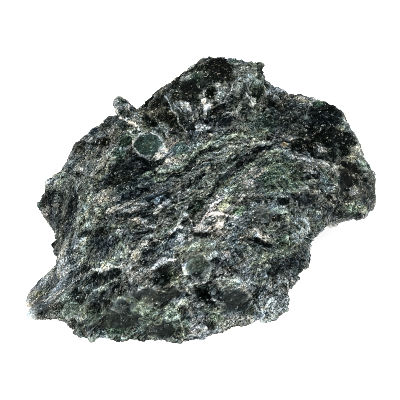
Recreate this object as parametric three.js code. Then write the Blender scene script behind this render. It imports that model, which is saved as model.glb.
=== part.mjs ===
// A raw boulder of dark mica rock: one natural piece, broken on all its sides, lying on a flat base.
// Millimetres, +Z up, origin in the middle of the base's outline.
//
// The boulder's broad face leans back. Its shape is set out in the frame of that face: u runs along
// the boulder, v up the leaning face and w straight out of it. Every surface point is a distance
// from the heart, a point deep inside, so the whole skin is one closed sheet around the heart.

import * as THREE from 'three';
import { mergeVertices } from 'three/addons/utils/BufferGeometryUtils.js';

// ---------- driving dimensions ----------

const LEAN = THREE.MathUtils.degToRad(28); // the broad face's normal rises this far above level
const HEART_HEIGHT = 63.4; // height of u = v = w = 0 above the base
const HEART = new THREE.Vector3(0, 0, -5); // the point that every radius is measured from (u, v, w)
const BASE_MIDDLE = [9.6, 5.4]; // x and y of the middle of the outline, measured from u = v = w = 0
const GRID = 28; // cells along each edge of the cube that the skin is laid out on
const ROUNDING = 0.012; // softness of the bends between shape points, as a part of the radius

// The outline of the broad face, anticlockwise from the right lobe (u, v, w).
const OUTLINE = [
  [137.5, -4, -65], [135.5, 10, -66], [137, 24, -64], [125.5, 34, -60], [125, 51, -58],
  [117.5, 61.5, -54], [103, 68.5, -50], [87.5, 73.3, -44], [74, 79, -40], [69, 82.5, -38.5],
  [64, 84, -37], [53.5, 83.5, -30], [46.5, 97.5, -24], [35, 99, -20], [22, 100, -18], [8, 101, -16],
  [-2, 98, -16], [-12, 90, -17], [-22, 82.5, -19], [-33, 80, -21], [-38, 74, -22], [-44, 63, -26],
  [-63, 60.5, -31], [-69, 57, -33], [-77, 50, -35], [-85.5, 42, -36], [-96, 37, -37], [-99, 27, -35],
  [-106, 18, -33], [-116, 8, -31], [-115.6, 1.5, -29.5], [-117, -5, -28], [-110, -16, -23],
  [-105, -27, -16], [-102.5, -38, -9], [-97, -46, 0], [-99, -58, 14], [-110, -62, 27],
  [-115, -64.5, 31], [-115, -72, 38], [-110, -75, 41], [-102, -75, 41], [-91, -73.5, 41],
  [-84, -78.5, 42], [-78, -86, 42], [-65, -94, 42], [-40, -96, 42], [-10, -96, 42], [9, -93.5, 37],
  [27, -88, 27], [45, -86, 21], [57, -83, 15], [63, -75, 1], [65, -65, -14], [72, -56, -26],
  [76, -47, -37], [77, -37, -46], [77, -26, -54], [88, -16, -62], [108, -13, -65], [124, -15, -66],
  [134, -10, -66],
];

// The broad face itself, row by row from the peak down (u, v, w).
const FACE = [
  [1, 89, -1], [24, 90, -3], [42, 87, -12],
  [-24, 71, -3], [0, 68, 10], [23, 68, 8], [43, 68, -6], [70, 65, -24], [98, 61, -36],
  [-34, 52, 6], [-8, 48, 20], [17, 47, 22], [41, 48, 12], [67, 49, -8], [95, 46, -30], [115, 44, -44],
  [-80, 34, -14], [-59, 35, 4], [-35, 34, 17], [-10, 30, 30], [16, 32, 32], [40, 32, 25],
  [63, 33, 9], [89, 30, -20], [116, 26, -40],
  [-99, 8, -12], [-78, 10, 6], [-55, 12, 21], [-31, 11, 32], [-5, 13, 41], [19, 13, 42],
  [43, 13, 37], [68, 13, 21], [94, 8, -8], [116, 10, -34],
  [-101, -12, -4], [-76, -9, 17], [-53, -9, 34], [-28, -9, 44], [-4, -9, 50], [21, -7, 50],
  [45, -9, 43], [70, -10, 22], [96, -10, -16], [118, -8, -44],
  [88, -23, -20], [98, -17, -27], [79, -28, -14], [98, -18, -42], [84, -22, -34],
  [-95, -33, 4], [-72, -29, 27], [-50, -29, 43], [-27, -28, 52], [-2, -28, 56], [21, -28, 51],
  [43, -29, 38], [65, -30, 12], [80, -41, -20], [79, -47, -18],
  [71, -54, -14], [63.5, -57, -8],
  [-95, -54, 17], [-74, -49, 36], [-52, -48, 51], [-30, -47, 58], [-6, -47, 60], [16, -47, 54],
  [35, -48, 42], [54, -51, 18],
  [-103, -68, 36], [-90, -64, 41], [-69, -66, 50], [-46, -65, 58], [-23, -65, 60], [-1, -65, 57],
  [23, -66, 44], [39, -67, 32],
  [-70, -81, 48], [-48, -82, 51], [-25, -82, 52], [1, -81, 49], [26, -78, 33],
];

// The back and the underside (x, y, z above the base). Where z is below 0 the base cuts the rock off.
const BACK = [
  [-101, 42, 28], [-98, 56, 54], [-68, 70, 84], [-66, 76, 44], [-32, 80, 104], [-30, 88, 62],
  [8, 84, 124], [12, 93, 78], [48, 90, 98], [56, 95, 52], [92, 92, 76], [94, 90, 38], [122, 84, 58],
  [122, 82, 30], [20, 84, 24], [-34, 76, 22],
];
const UNDERSIDE = [
  [0, 0, -20], [-46, -40, -20], [-56, 30, -18], [34, -26, -20], [46, 44, -18], [0, 62, -14],
  [82, 66, -5], [112, 72, 11], [-98, -8, 14], [-92, 34, 8], [-92, -44, 6], [-104, -56, 9],
  [-93, -49, 2], [-82, -53, 0],
];

// How the layers of the rock run over the broad face. Each line follows one layer, at a height
// counted in mm across the layering: they climb to the right, arch over and fall away again.
const LAYERS = [
  {
    height: 54,
    line: [
      [-104, -28, -12], [-113, -2, -21], [-92, 32, -22], [-66, 54, -16], [-30, 74, -6],
      [10, 92, -4], [40, 96, -14],
    ],
  },
  {
    height: 36,
    line: [
      [-106, -62, 28], [-95, -46, 10], [-95, -26, 0], [-88, -4, 2], [-74, 25, -4], [-54, 50, -4],
      [12, 64, 8], [46, 70, -8], [76, 74, -34],
    ],
  },
  {
    height: 18,
    line: [
      [-112, -74, 40], [-92, -58, 36], [-85, -38, 20], [-77, -12, 16], [-62, 6, 19], [-26, 20, 32],
      [12, 36, 28], [46, 50, 10], [74, 52, -12], [102, 42, -34], [124, 24, -50],
    ],
  },
  {
    height: 0,
    line: [
      [-100, -78, 41], [-82, -60, 43], [-72, -36, 28], [-58, -14, 31], [-22, 3, 38], [11, 19, 41],
      [44, 34, 24], [60, 38, 10], [80, 28, -6], [96, 8, -10], [106, -10, -28],
    ],
  },
  {
    height: -14,
    line: [
      [-88, -84, 42], [-70, -62, 46], [-56, -36, 41], [-32, -14, 44], [4, 2, 47], [34, 20, 36],
      [54, 26, 24], [68, 18, 18], [80, 2, 8], [86, -12, 4],
    ],
  },
  {
    height: -28,
    line: [
      [-74, -89, 43], [-58, -64, 50], [-38, -36, 50], [0, -14, 51], [30, 4, 46], [50, 12, 34],
      [62, 4, 28], [68, -12, 22], [72, -26, 4],
    ],
  },
  {
    height: -42,
    line: [[-60, -90, 46], [-44, -68, 55], [-20, -46, 58], [10, -26, 55], [36, -12, 47], [52, -20, 36]],
  },
  {
    height: -58,
    line: [[-44, -92, 46], [-26, -72, 56], [0, -58, 58], [26, -46, 49], [56, -34, 22]],
  },
  {
    height: -74,
    line: [[-24, -93, 45], [2, -78, 50], [32, -70, 38], [60, -62, 4]],
  },
];

// Rounded lumps and hollows: middle (u, v, w), half length, half width, turn of the length from
// level (deg) and rise (mm, a hollow's is below 0).
const LUMPS = [
  { at: [-55, 69, -29], half: [8, 8], turn: 0, rise: 22 },
  { at: [-42, 64, -25], half: [4, 12], turn: 0, rise: -9 },
  { at: [101, 61, -37], half: [14, 9], turn: -20, rise: 3.5 },
  { at: [83, 34, -14], half: [14, 8], turn: -30, rise: -6 },
  { at: [-39, 14, 29], half: [18, 14], turn: 30, rise: -3 },
  { at: [-20, -46, 59], half: [8, 5], turn: 80, rise: -5 },
  { at: [-94, 20, -12], half: [12, 7], turn: 60, rise: -3 },
  { at: [52, 78, -16], half: [12, 6], turn: 80, rise: -3 },
  { at: [36, -20, 46], half: [16, 5], turn: 28, rise: 3 },
  { at: [-84, -22, 18], half: [22, 6], turn: 76, rise: 3 },
  { at: [46, -34, 34], half: [12, 5], turn: 20, rise: -4 },
];

// Ledges: each follows a path over the face (u, v, w). The rock on the left of the path, as seen
// from outside, stands up by the rise and falls back to the face over the reach.
const LEDGES = [
  { path: [[-26, 0, 37], [11, 19, 41], [48, 38, 22]], rise: 3.5, reach: 14 },
  { path: [[101, -2, -16], [94, 10, -10], [80, 26, -4], [60, 38, 10]], rise: 4.5, reach: 14 },
  { path: [[50, 96, -22], [51, 81, -16], [44, 60, 0], [34, 46, 14]], rise: -5, reach: 18 },
  { path: [[14, -30, 54], [36, -24, 48], [58, -18, 34]], rise: 3, reach: 10 },
  { path: [[-60, -36, 42], [-34, -34, 54], [-8, -22, 54]], rise: 3, reach: 12 },
  { path: [[-82, 40, -10], [-62, 46, 0], [-40, 56, 2], [-14, 56, 16], [16, 56, 18]], rise: 4, reach: 16 },
  { path: [[-100, -64, 34], [-74, -56, 40], [-52, -58, 54]], rise: 3, reach: 10 },
];

// Flat cleavage plates: middle (u, v, w), half length, half width, turn of the length (deg) and
// how far the plate's middle stands out (mm).
const PLATES = [
  { at: [-41, -65, 58], half: [16, 8], turn: 2, rise: -1 },
  { at: [-21, -43, 59], half: [12, 6], turn: -20, rise: -1 },
  { at: [1, -30, 56], half: [11, 10], turn: 0, rise: 0.5 },
  { at: [61, -32, 15], half: [11, 6], turn: 20, rise: 0.5 },
  { at: [-37, 39, 16], half: [11, 10], turn: 0, rise: 0.5 },
  { at: [-27, 64, 0], half: [15, 11], turn: 60, rise: 0 },
  { at: [-2, 80, 4], half: [12, 10], turn: 40, rise: 0 },
  { at: [18, 92, -4], half: [13, 10], turn: -10, rise: 0 },
  { at: [76, 1, 18], half: [12, 8], turn: -20, rise: 0 },
  { at: [111, 14, -28], half: [12, 11], turn: 30, rise: 0 },
  { at: [-92, -4, -2], half: [18, 9], turn: 70, rise: 0 },
  { at: [24, -62, 46], half: [13, 9], turn: 70, rise: -1 },
  { at: [-80, -70, 46], half: [14, 7], turn: 20, rise: 0 },
  { at: [15, 53, -76], half: [34, 24], turn: 12, rise: -1 },
  { at: [98, 39, -81], half: [24, 22], turn: -30, rise: 0 },
  { at: [-60, 24, -73], half: [30, 22], turn: 20, rise: 0 },
  { at: [24, 12, -93], half: [36, 14], turn: 5, rise: 1 },
  { at: [-104, 6, -50], half: [13, 10], turn: 70, rise: 0 },
  { at: [135, 13, -75], half: [14, 12], turn: 0, rise: -3 },
];

// The rock breaks into lens-shaped facets that lie along its layers.
const FACET_COUNT = 190;
const FACET_ALONG = 1; // distance along the layers counts once in choosing a point's facet
const FACET_ACROSS = 1.7; // and distance across them counts this many times
const FACET_TILT = 0.28; // how far a facet's normal strays, as a slope
const FACET_STRENGTH = 0.8; // 1 makes the facets quite flat
const FACET_LIMIT = 4.5; // a facet moves the skin by no more than this

const TERRACE_SPACING = 15; // layers weather into terraces this far apart
const TERRACE_RISE = 1.6;

// ---------- small helpers ----------

const toVector = ([u, v, w]) => new THREE.Vector3(u, v, w);

/** Turns a point of the face frame (u, v, w) into the boulder's own x, y, z. */
function faceToBoulder(point) {
  const { x: u, y: v, z: w } = point;
  return new THREE.Vector3(
    u,
    v * Math.sin(LEAN) - w * Math.cos(LEAN),
    v * Math.cos(LEAN) + w * Math.sin(LEAN) + HEART_HEIGHT,
  );
}

/** Turns x, y, z of the boulder into the face frame's u, v, w. */
function boulderToFace([x, y, z]) {
  const up = z - HEART_HEIGHT;
  return new THREE.Vector3(
    x,
    y * Math.sin(LEAN) + up * Math.cos(LEAN),
    -y * Math.cos(LEAN) + up * Math.sin(LEAN),
  );
}

/** The n-th number of an even scatter between 0 and 1, one series for each seed. */
function scatter(n, seed) {
  const value = (n + 1) * (0.6180339887 + 0.1370001 * seed) + 0.31 * seed;
  return value - Math.floor(value);
}

const smooth = (t) => {
  const c = Math.min(1, Math.max(0, t));
  return c * c * (3 - 2 * c);
};

/** Solves matrix * x = right by elimination with row swaps. */
function solve(matrix, right) {
  const n = right.length;
  const rows = matrix.map((row, i) => [...row, right[i]]);
  for (let col = 0; col < n; col++) {
    let best = col;
    for (let r = col + 1; r < n; r++) {
      if (Math.abs(rows[r][col]) > Math.abs(rows[best][col])) best = r;
    }
    [rows[col], rows[best]] = [rows[best], rows[col]];
    for (let r = col + 1; r < n; r++) {
      const factor = rows[r][col] / rows[col][col];
      for (let c = col; c <= n; c++) rows[r][c] -= factor * rows[col][c];
    }
  }
  const x = new Array(n).fill(0);
  for (let r = n - 1; r >= 0; r--) {
    let sum = rows[r][n];
    for (let c = r + 1; c < n; c++) sum -= rows[r][c] * x[c];
    x[r] = sum / rows[r][r];
  }
  return x;
}

/**
 * A field that passes through values[i] at sites[i]: a plane plus one rounded cone at each site,
 * cone = sqrt(distance^2 + softness^2).
 */
function fieldThrough(sites, values, softness) {
  const cone = (a, b) => Math.sqrt(a.distanceToSquared(b) + softness * softness);
  const plane = (p) => [1, p.x, p.y, p.z];
  const matrix = sites.map((site) => [...sites.map((other) => cone(site, other)), ...plane(site)]);
  for (let k = 0; k < 4; k++) {
    matrix.push([...sites.map((site) => plane(site)[k]), 0, 0, 0, 0]);
  }
  const weights = solve(matrix, [...values, 0, 0, 0, 0]);
  return (p) => {
    let sum = 0;
    sites.forEach((site, i) => { sum += weights[i] * cone(p, site); });
    plane(p).forEach((term, k) => { sum += weights[sites.length + k] * term; });
    return sum;
  };
}

// ---------- the shape, from the inside out ----------

/** The skin through the shape points, as a radius for each direction from the heart. */
function makeCoreRadius() {
  const points = [
    ...[...OUTLINE, ...FACE].map(toVector),
    ...[...BACK, ...UNDERSIDE].map(boulderToFace),
  ];
  const reaches = points.map((point) => point.clone().sub(HEART));
  return fieldThrough(
    reaches.map((reach) => reach.clone().normalize()),
    reaches.map((reach) => reach.length()),
    ROUNDING,
  );
}

/** The height in the layering of any point of the rock. */
function makeLayerHeight() {
  const sites = [];
  const heights = [];
  for (const { height, line } of LAYERS) {
    for (const point of line) {
      sites.push(toVector(point));
      heights.push(height);
    }
  }
  return fieldThrough(sites, heights, 6);
}

/** The point of a skin in a direction from the heart. */
const skinPoint = (radius, direction) => direction.clone().multiplyScalar(radius(direction)).add(HEART);

/** The outward normal of a skin, averaged over a patch about step wide (as a slope from the heart). */
function skinNormal(radius, direction, step) {
  const side = new THREE.Vector3(0, 1, 0).cross(direction);
  if (side.length() < 0.1) side.set(1, 0, 0);
  side.normalize();
  const rise = direction.clone().cross(side);
  const near = (axis, sign) => {
    const turned = direction.clone().addScaledVector(axis, sign * step).normalize();
    return skinPoint(radius, turned);
  };
  const across = near(side, 1).sub(near(side, -1));
  const along = near(rise, 1).sub(near(rise, -1));
  return across.cross(along).normalize();
}

/** A local frame on a skin: its middle, its normal, and its length and width axes. */
function localFrame(radius, at, turn) {
  const direction = toVector(at).sub(HEART).normalize();
  const normal = skinNormal(radius, direction, 0.06);
  const level = new THREE.Vector3(1, 0, 0).addScaledVector(normal, -normal.x).normalize();
  const length = level.applyAxisAngle(normal, THREE.MathUtils.degToRad(turn));
  return { middle: skinPoint(radius, direction), normal, length, width: normal.clone().cross(length) };
}

/** How far a point lies from a local frame's middle, 1 at the edge of its ellipse. */
function ellipseDistance(frame, half, point) {
  const offset = point.clone().sub(frame.middle);
  const along = offset.dot(frame.length) / half[0];
  const across = offset.dot(frame.width) / half[1];
  const through = offset.dot(frame.normal) / (half[0] + half[1]);
  return Math.sqrt(along * along + across * across + through * through);
}

/** Adds the rounded lumps and hollows. */
function withLumps(radius) {
  const lumps = LUMPS.map((lump) => ({ ...lump, frame: localFrame(radius, lump.at, lump.turn) }));
  return (direction) => {
    const bare = radius(direction);
    const point = direction.clone().multiplyScalar(bare).add(HEART);
    let rise = 0;
    for (const lump of lumps) {
      const distance = ellipseDistance(lump.frame, lump.half, point);
      rise += lump.rise * Math.exp(-distance * distance);
    }
    return bare + rise;
  };
}

/** The nearest place on a path: its distance on the left side (+) or right side (-), and how far along. */
function besidePath(path, point) {
  let best = { gap: Infinity };
  for (let i = 0; i < path.length - 1; i++) {
    const run = path[i + 1].clone().sub(path[i]);
    const part = THREE.MathUtils.clamp(point.clone().sub(path[i]).dot(run) / run.lengthSq(), 0, 1);
    const foot = path[i].clone().addScaledVector(run, part);
    const gap = point.distanceTo(foot);
    if (gap < best.gap) {
      const left = foot.clone().sub(HEART).cross(run);
      const side = Math.sign(point.clone().sub(foot).dot(left));
      best = { gap, side, along: (i + part) / (path.length - 1) };
    }
  }
  return best;
}

/** Adds the ledges: a step at the path that dies away over the reach, and towards both ends. */
function withLedges(radius) {
  const ledges = LEDGES.map((ledge) => ({ ...ledge, path: ledge.path.map(toVector) }));
  return (direction) => {
    const bare = radius(direction);
    const point = direction.clone().multiplyScalar(bare).add(HEART);
    let rise = 0;
    for (const { path, rise: height, reach } of ledges) {
      const { gap, side, along } = besidePath(path, point);
      const taper = Math.sqrt(Math.sin(Math.PI * along));
      const fall = side > 0 ? Math.exp(-gap / reach) : -0.3 * Math.exp(-3 * gap / reach);
      rise += height * taper * fall;
    }
    return bare + rise;
  };
}

/** The radius at which a direction meets a plane through a point, kept within limit of a bare radius. */
function planeRadius(direction, point, normal, bare, limit) {
  const facing = Math.max(0.2, normal.dot(direction));
  const meet = normal.dot(point.clone().sub(HEART)) / facing;
  return bare + THREE.MathUtils.clamp(meet - bare, -limit, limit);
}

/** Lays the rock's broken facets over a skin: each point takes the plane of its nearest facet. */
function withFacets(radius, layerHeight) {
  const facets = [];
  for (let i = 0; i < FACET_COUNT; i++) {
    const level = 1 - 2 * (i + 0.5) / FACET_COUNT;
    const turn = 2.39996 * i + 0.9 * scatter(i, 1);
    const ring = Math.sqrt(1 - level * level);
    const direction = new THREE.Vector3(ring * Math.cos(turn), ring * Math.sin(turn), level);
    const middle = skinPoint(radius, direction);
    const stray = new THREE.Vector3(scatter(i, 2), scatter(i, 3), scatter(i, 4)).subScalar(0.5);
    const normal = skinNormal(radius, direction, 0.08).addScaledVector(stray, 2 * FACET_TILT).normalize();
    facets.push({ middle, normal, layer: layerHeight(middle) });
  }
  return (direction) => {
    const bare = radius(direction);
    const point = direction.clone().multiplyScalar(bare).add(HEART);
    const layer = layerHeight(point);
    let nearest = facets[0];
    let least = Infinity;
    for (const facet of facets) {
      const along = FACET_ALONG * facet.middle.distanceTo(point);
      const across = FACET_ACROSS * (facet.layer - layer);
      const distance = along * along + across * across;
      if (distance < least) {
        least = distance;
        nearest = facet;
      }
    }
    const flat = planeRadius(direction, nearest.middle, nearest.normal, bare, FACET_LIMIT);
    return THREE.MathUtils.lerp(bare, flat, FACET_STRENGTH);
  };
}

/** Presses the flat cleavage plates into a skin. */
function withPlates(radius) {
  const plates = PLATES.map((plate) => ({ ...plate, frame: localFrame(radius, plate.at, plate.turn) }));
  return (direction) => {
    let result = radius(direction);
    const point = direction.clone().multiplyScalar(result).add(HEART);
    for (const { frame, half, rise } of plates) {
      const cover = smooth((1.15 - ellipseDistance(frame, half, point)) / 0.35);
      if (cover > 0) {
        const flat = planeRadius(direction, frame.middle, frame.normal, result, half[1] / 2) + rise;
        result = THREE.MathUtils.lerp(result, flat, cover);
      }
    }
    return result;
  };
}

/** Weathers the layers into terraces: a slow rise across each spacing, then a quick drop. */
function withTerraces(radius, layerHeight) {
  return (direction) => {
    const bare = radius(direction);
    const layer = layerHeight(direction.clone().multiplyScalar(bare).add(HEART)) / TERRACE_SPACING;
    const part = layer - Math.floor(layer);
    const tread = part < 0.75 ? part / 0.75 : (1 - part) / 0.25;
    return bare + TERRACE_RISE * (tread - 0.5);
  };
}

/** Cuts a skin off at the base: no point lies below z = 0. */
function standingPoint(radius, direction) {
  const point = faceToBoulder(skinPoint(radius, direction));
  const heart = faceToBoulder(HEART);
  if (point.z >= 0) return point;
  return heart.clone().lerp(point, heart.z / (heart.z - point.z)).setZ(0);
}

/** Two triangles for the cell a, b, c, d, split along its shorter diagonal. */
function cellTriangles(positions, a, b, c, d) {
  const place = (index) => new THREE.Vector3().fromArray(positions, 3 * index);
  const shortAcross = place(a).distanceTo(place(c)) <= place(b).distanceTo(place(d));
  return shortAcross ? [a, b, c, a, c, d] : [a, b, d, b, c, d];
}

/** Lays a skin out on the six faces of a cube, blown up around the heart, and welds the edges. */
function skinGeometry(radius) {
  const positions = [];
  const triangles = [];
  const axes = [
    [[0, 1, 0], [0, 0, 1], [1, 0, 0]], [[0, 0, 1], [0, 1, 0], [-1, 0, 0]],
    [[0, 0, 1], [1, 0, 0], [0, 1, 0]], [[1, 0, 0], [0, 0, 1], [0, -1, 0]],
    [[1, 0, 0], [0, 1, 0], [0, 0, 1]], [[0, 1, 0], [1, 0, 0], [0, 0, -1]],
  ].map((face) => face.map(toVector));
  const slope = (i) => Math.tan((i / GRID - 0.5) * Math.PI / 2);
  for (const [right, up, out] of axes) {
    const first = positions.length / 3;
    for (let j = 0; j <= GRID; j++) {
      for (let i = 0; i <= GRID; i++) {
        const direction = out.clone().addScaledVector(right, slope(i)).addScaledVector(up, slope(j));
        positions.push(...standingPoint(radius, direction.normalize()).toArray());
      }
    }
    for (let j = 0; j < GRID; j++) {
      for (let i = 0; i < GRID; i++) {
        const a = first + j * (GRID + 1) + i;
        triangles.push(...cellTriangles(positions, a, a + 1, a + GRID + 2, a + GRID + 1));
      }
    }
  }
  const geometry = new THREE.BufferGeometry();
  geometry.setAttribute('position', new THREE.Float32BufferAttribute(positions, 3));
  geometry.setIndex(triangles);
  return mergeVertices(geometry, 1e-3);
}

function makeBoulder() {
  const layerHeight = makeLayerHeight();
  let radius = makeCoreRadius();
  radius = withLumps(radius);
  radius = withLedges(radius);
  radius = withFacets(radius, layerHeight);
  radius = withPlates(radius);
  radius = withTerraces(radius, layerHeight);
  const rock = new THREE.MeshStandardMaterial({ color: 0x3f4a44, roughness: 0.55, metalness: 0 });
  const geometry = skinGeometry(radius);
  geometry.translate(-BASE_MIDDLE[0], -BASE_MIDDLE[1], 0);
  const boulder = new THREE.Mesh(geometry, rock);
  boulder.name = 'mica_boulder';
  return boulder;
}

const group = new THREE.Group();
group.add(makeBoulder());

export default group;
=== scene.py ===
"""A raw boulder of dark mica rock, dressed: its broken skin, folded layers, glossy plates and pale rims.

The boulder's broad face leans back. Its shape is set out in the frame of that face, in millimetres:
u runs along the boulder, v up the leaning face and w straight out of it. Every point of the skin is a
distance from the heart, a point deep inside. The finished mesh is in metres, +Z up, on the floor.
"""

import math

import bpy
import numpy as np
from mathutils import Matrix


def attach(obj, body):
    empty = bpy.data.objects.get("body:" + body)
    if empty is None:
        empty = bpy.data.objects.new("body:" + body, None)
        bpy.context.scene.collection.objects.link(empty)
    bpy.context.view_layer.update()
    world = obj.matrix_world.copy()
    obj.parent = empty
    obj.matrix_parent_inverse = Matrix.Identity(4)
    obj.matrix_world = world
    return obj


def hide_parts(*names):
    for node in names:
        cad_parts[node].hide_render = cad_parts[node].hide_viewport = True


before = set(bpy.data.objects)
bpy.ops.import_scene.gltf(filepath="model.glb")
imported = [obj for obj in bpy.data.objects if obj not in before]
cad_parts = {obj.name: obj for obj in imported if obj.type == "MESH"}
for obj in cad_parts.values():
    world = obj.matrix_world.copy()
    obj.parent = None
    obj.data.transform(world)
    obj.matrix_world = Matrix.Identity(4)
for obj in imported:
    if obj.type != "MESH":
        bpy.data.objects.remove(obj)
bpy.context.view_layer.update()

# ---------- driving dimensions, in mm ----------

MM = 0.001
LEAN = math.radians(28)  # the broad face's normal rises this far above level
HEART_HEIGHT = 63.4  # height of u = v = w = 0 above the floor
HEART = np.array([0.0, 0.0, -5.0])
BASE_MIDDLE = np.array([9.6, 5.4, 0.0])  # the outline's middle, measured from u = v = w = 0
ROUNDING = 0.012  # how softly the smooth skin bends at a shape point, in radii

# The outline of the broad face, anticlockwise from the right lobe (u, v, w).
OUTLINE = [
    [137.5, -4, -65], [135.5, 10, -66], [137, 24, -64], [125.5, 34, -60], [125, 51, -58],
    [117.5, 61.5, -54], [103, 68.5, -50], [87.5, 73.3, -44], [74, 79, -40], [69, 82.5, -38.5],
    [64, 84, -37], [53.5, 83.5, -30], [46.5, 97.5, -24], [35, 99, -20], [22, 100, -18], [8, 101, -16],
    [-2, 98, -16], [-12, 90, -17], [-22, 82.5, -19], [-33, 80, -21], [-38, 74, -22], [-44, 63, -26],
    [-63, 60.5, -31], [-69, 57, -33], [-77, 50, -35], [-85.5, 42, -36], [-96, 37, -37], [-99, 27, -35],
    [-106, 18, -33], [-116, 8, -31], [-115.6, 1.5, -29.5], [-117, -5, -28], [-110, -16, -23],
    [-105, -27, -16], [-102.5, -38, -9], [-97, -46, 0], [-99, -58, 14], [-110, -62, 27],
    [-115, -64.5, 31], [-115, -72, 38], [-110, -75, 41], [-102, -75, 41], [-91, -73.5, 41],
    [-84, -78.5, 42], [-78, -86, 42], [-65, -94, 42], [-40, -96, 42], [-10, -96, 42], [9, -93.5, 37],
    [27, -88, 27], [45, -86, 21], [57, -83, 15], [63, -75, 1], [65, -65, -14], [72, -56, -26],
    [76, -47, -37], [77, -37, -46], [77, -26, -54], [88, -16, -62], [108, -13, -65], [124, -15, -66],
    [134, -10, -66],
]

# The broad face, row by row from the peak down (u, v, w).
FACE = [
    [1, 89, -1], [24, 90, -3], [42, 87, -12],
    [-24, 71, -3], [0, 68, 10], [23, 68, 8], [43, 68, -6], [70, 65, -24], [98, 61, -36],
    [-34, 52, 6], [-8, 48, 20], [17, 47, 22], [41, 48, 12], [67, 49, -8], [95, 46, -30], [115, 44, -44],
    [-80, 34, -14], [-59, 35, 4], [-35, 34, 17], [-10, 30, 30], [16, 32, 32], [40, 32, 25],
    [63, 33, 9], [89, 30, -20], [116, 26, -40],
    [-99, 8, -12], [-78, 10, 6], [-55, 12, 21], [-31, 11, 32], [-5, 13, 41], [19, 13, 42],
    [43, 13, 37], [68, 13, 21], [94, 8, -8], [116, 10, -34],
    [-101, -12, -4], [-76, -9, 17], [-53, -9, 34], [-28, -9, 44], [-4, -9, 50], [21, -7, 50],
    [45, -9, 43], [70, -10, 22], [96, -10, -16], [118, -8, -44],
    [88, -23, -20], [98, -17, -27], [79, -28, -14], [98, -18, -42], [84, -22, -34],
    [-95, -33, 4], [-72, -29, 27], [-50, -29, 43], [-27, -28, 52], [-2, -28, 56], [21, -28, 51],
    [43, -29, 38], [65, -30, 12], [80, -41, -20], [79, -47, -18],
    [71, -54, -14], [63.5, -57, -8],
    [-95, -54, 17], [-74, -49, 36], [-52, -48, 51], [-30, -47, 58], [-6, -47, 60], [16, -47, 54],
    [35, -48, 42], [54, -51, 18],
    [-103, -68, 36], [-90, -64, 41], [-69, -66, 50], [-46, -65, 58], [-23, -65, 60], [-1, -65, 57],
    [23, -66, 44], [39, -67, 32],
    [-70, -81, 48], [-48, -82, 51], [-25, -82, 52], [1, -81, 49], [26, -78, 33],
]

# The back and the underside (x, y, z above the floor).
BACK = [
    [-101, 42, 28], [-98, 56, 54], [-68, 70, 84], [-66, 76, 44], [-32, 80, 104], [-30, 88, 62],
    [8, 84, 124], [12, 93, 78], [48, 90, 98], [56, 95, 52], [92, 92, 76], [94, 90, 38], [122, 84, 58],
    [122, 82, 30], [20, 84, 24], [-34, 76, 22],
]
UNDERSIDE = [
    [0, 0, -20], [-46, -40, -20], [-56, 30, -18], [34, -26, -20], [46, 44, -18], [0, 62, -14],
    [82, 66, -5], [112, 72, 11], [-98, -8, 14], [-92, 34, 8], [-92, -44, 6], [-104, -56, 9],
    [-93, -49, 2], [-82, -53, 0],
]

# Each line follows one layer of the rock, at a height counted in mm across the layering.
LAYERS = [
    (54, [[-104, -28, -12], [-113, -2, -21], [-92, 32, -22], [-66, 54, -16], [-30, 74, -6], [10, 92, -4],
        [40, 96, -14]]),
    (36, [[-106, -62, 28], [-95, -46, 10], [-95, -26, 0], [-88, -4, 2], [-74, 25, -4], [-54, 50, -4],
        [12, 64, 8], [46, 70, -8], [76, 74, -34]]),
    (18, [[-112, -74, 40], [-92, -58, 36], [-85, -38, 20], [-77, -12, 16], [-62, 6, 19], [-26, 20, 32],
        [12, 36, 28], [46, 50, 10], [74, 52, -12], [102, 42, -34], [124, 24, -50]]),
    (0, [[-100, -78, 41], [-82, -60, 43], [-72, -36, 28], [-58, -14, 31], [-22, 3, 38], [11, 19, 41],
        [44, 34, 24], [60, 38, 10], [80, 28, -6], [96, 8, -10], [106, -10, -28]]),
    (-14, [[-88, -84, 42], [-70, -62, 46], [-56, -36, 41], [-32, -14, 44], [4, 2, 47], [34, 20, 36],
        [54, 26, 24], [68, 18, 18], [80, 2, 8], [86, -12, 4]]),
    (-28, [[-74, -89, 43], [-58, -64, 50], [-38, -36, 50], [0, -14, 51], [30, 4, 46], [50, 12, 34],
        [62, 4, 28], [68, -12, 22], [72, -26, 4]]),
    (-42, [[-60, -90, 46], [-44, -68, 55], [-20, -46, 58], [10, -26, 55], [36, -12, 47], [52, -20, 36]]),
    (-58, [[-44, -92, 46], [-26, -72, 56], [0, -58, 58], [26, -46, 49], [56, -34, 22]]),
    (-74, [[-24, -93, 45], [2, -78, 50], [32, -70, 38], [60, -62, 4]]),
]

# Lumps and hollows: middle, half length and half width, turn from level (deg), rise.
LUMPS = [
    dict(at=[-55, 69, -29], half=[8, 8], turn=0, rise=22),
    dict(at=[-42, 64, -25], half=[4, 12], turn=0, rise=-9),
    dict(at=[101, 61, -37], half=[14, 9], turn=-20, rise=3.5),
    dict(at=[83, 34, -14], half=[14, 8], turn=-30, rise=-6),
    dict(at=[-39, 14, 29], half=[18, 14], turn=30, rise=-3),
    dict(at=[-20, -46, 59], half=[8, 5], turn=80, rise=-5),
    dict(at=[-94, 20, -12], half=[12, 7], turn=60, rise=-3),
    dict(at=[52, 78, -16], half=[12, 6], turn=80, rise=-3),
    dict(at=[36, -20, 46], half=[16, 5], turn=28, rise=3),
    dict(at=[-84, -22, 18], half=[22, 6], turn=76, rise=3),
    dict(at=[46, -34, 34], half=[12, 5], turn=20, rise=-4),
]

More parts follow.
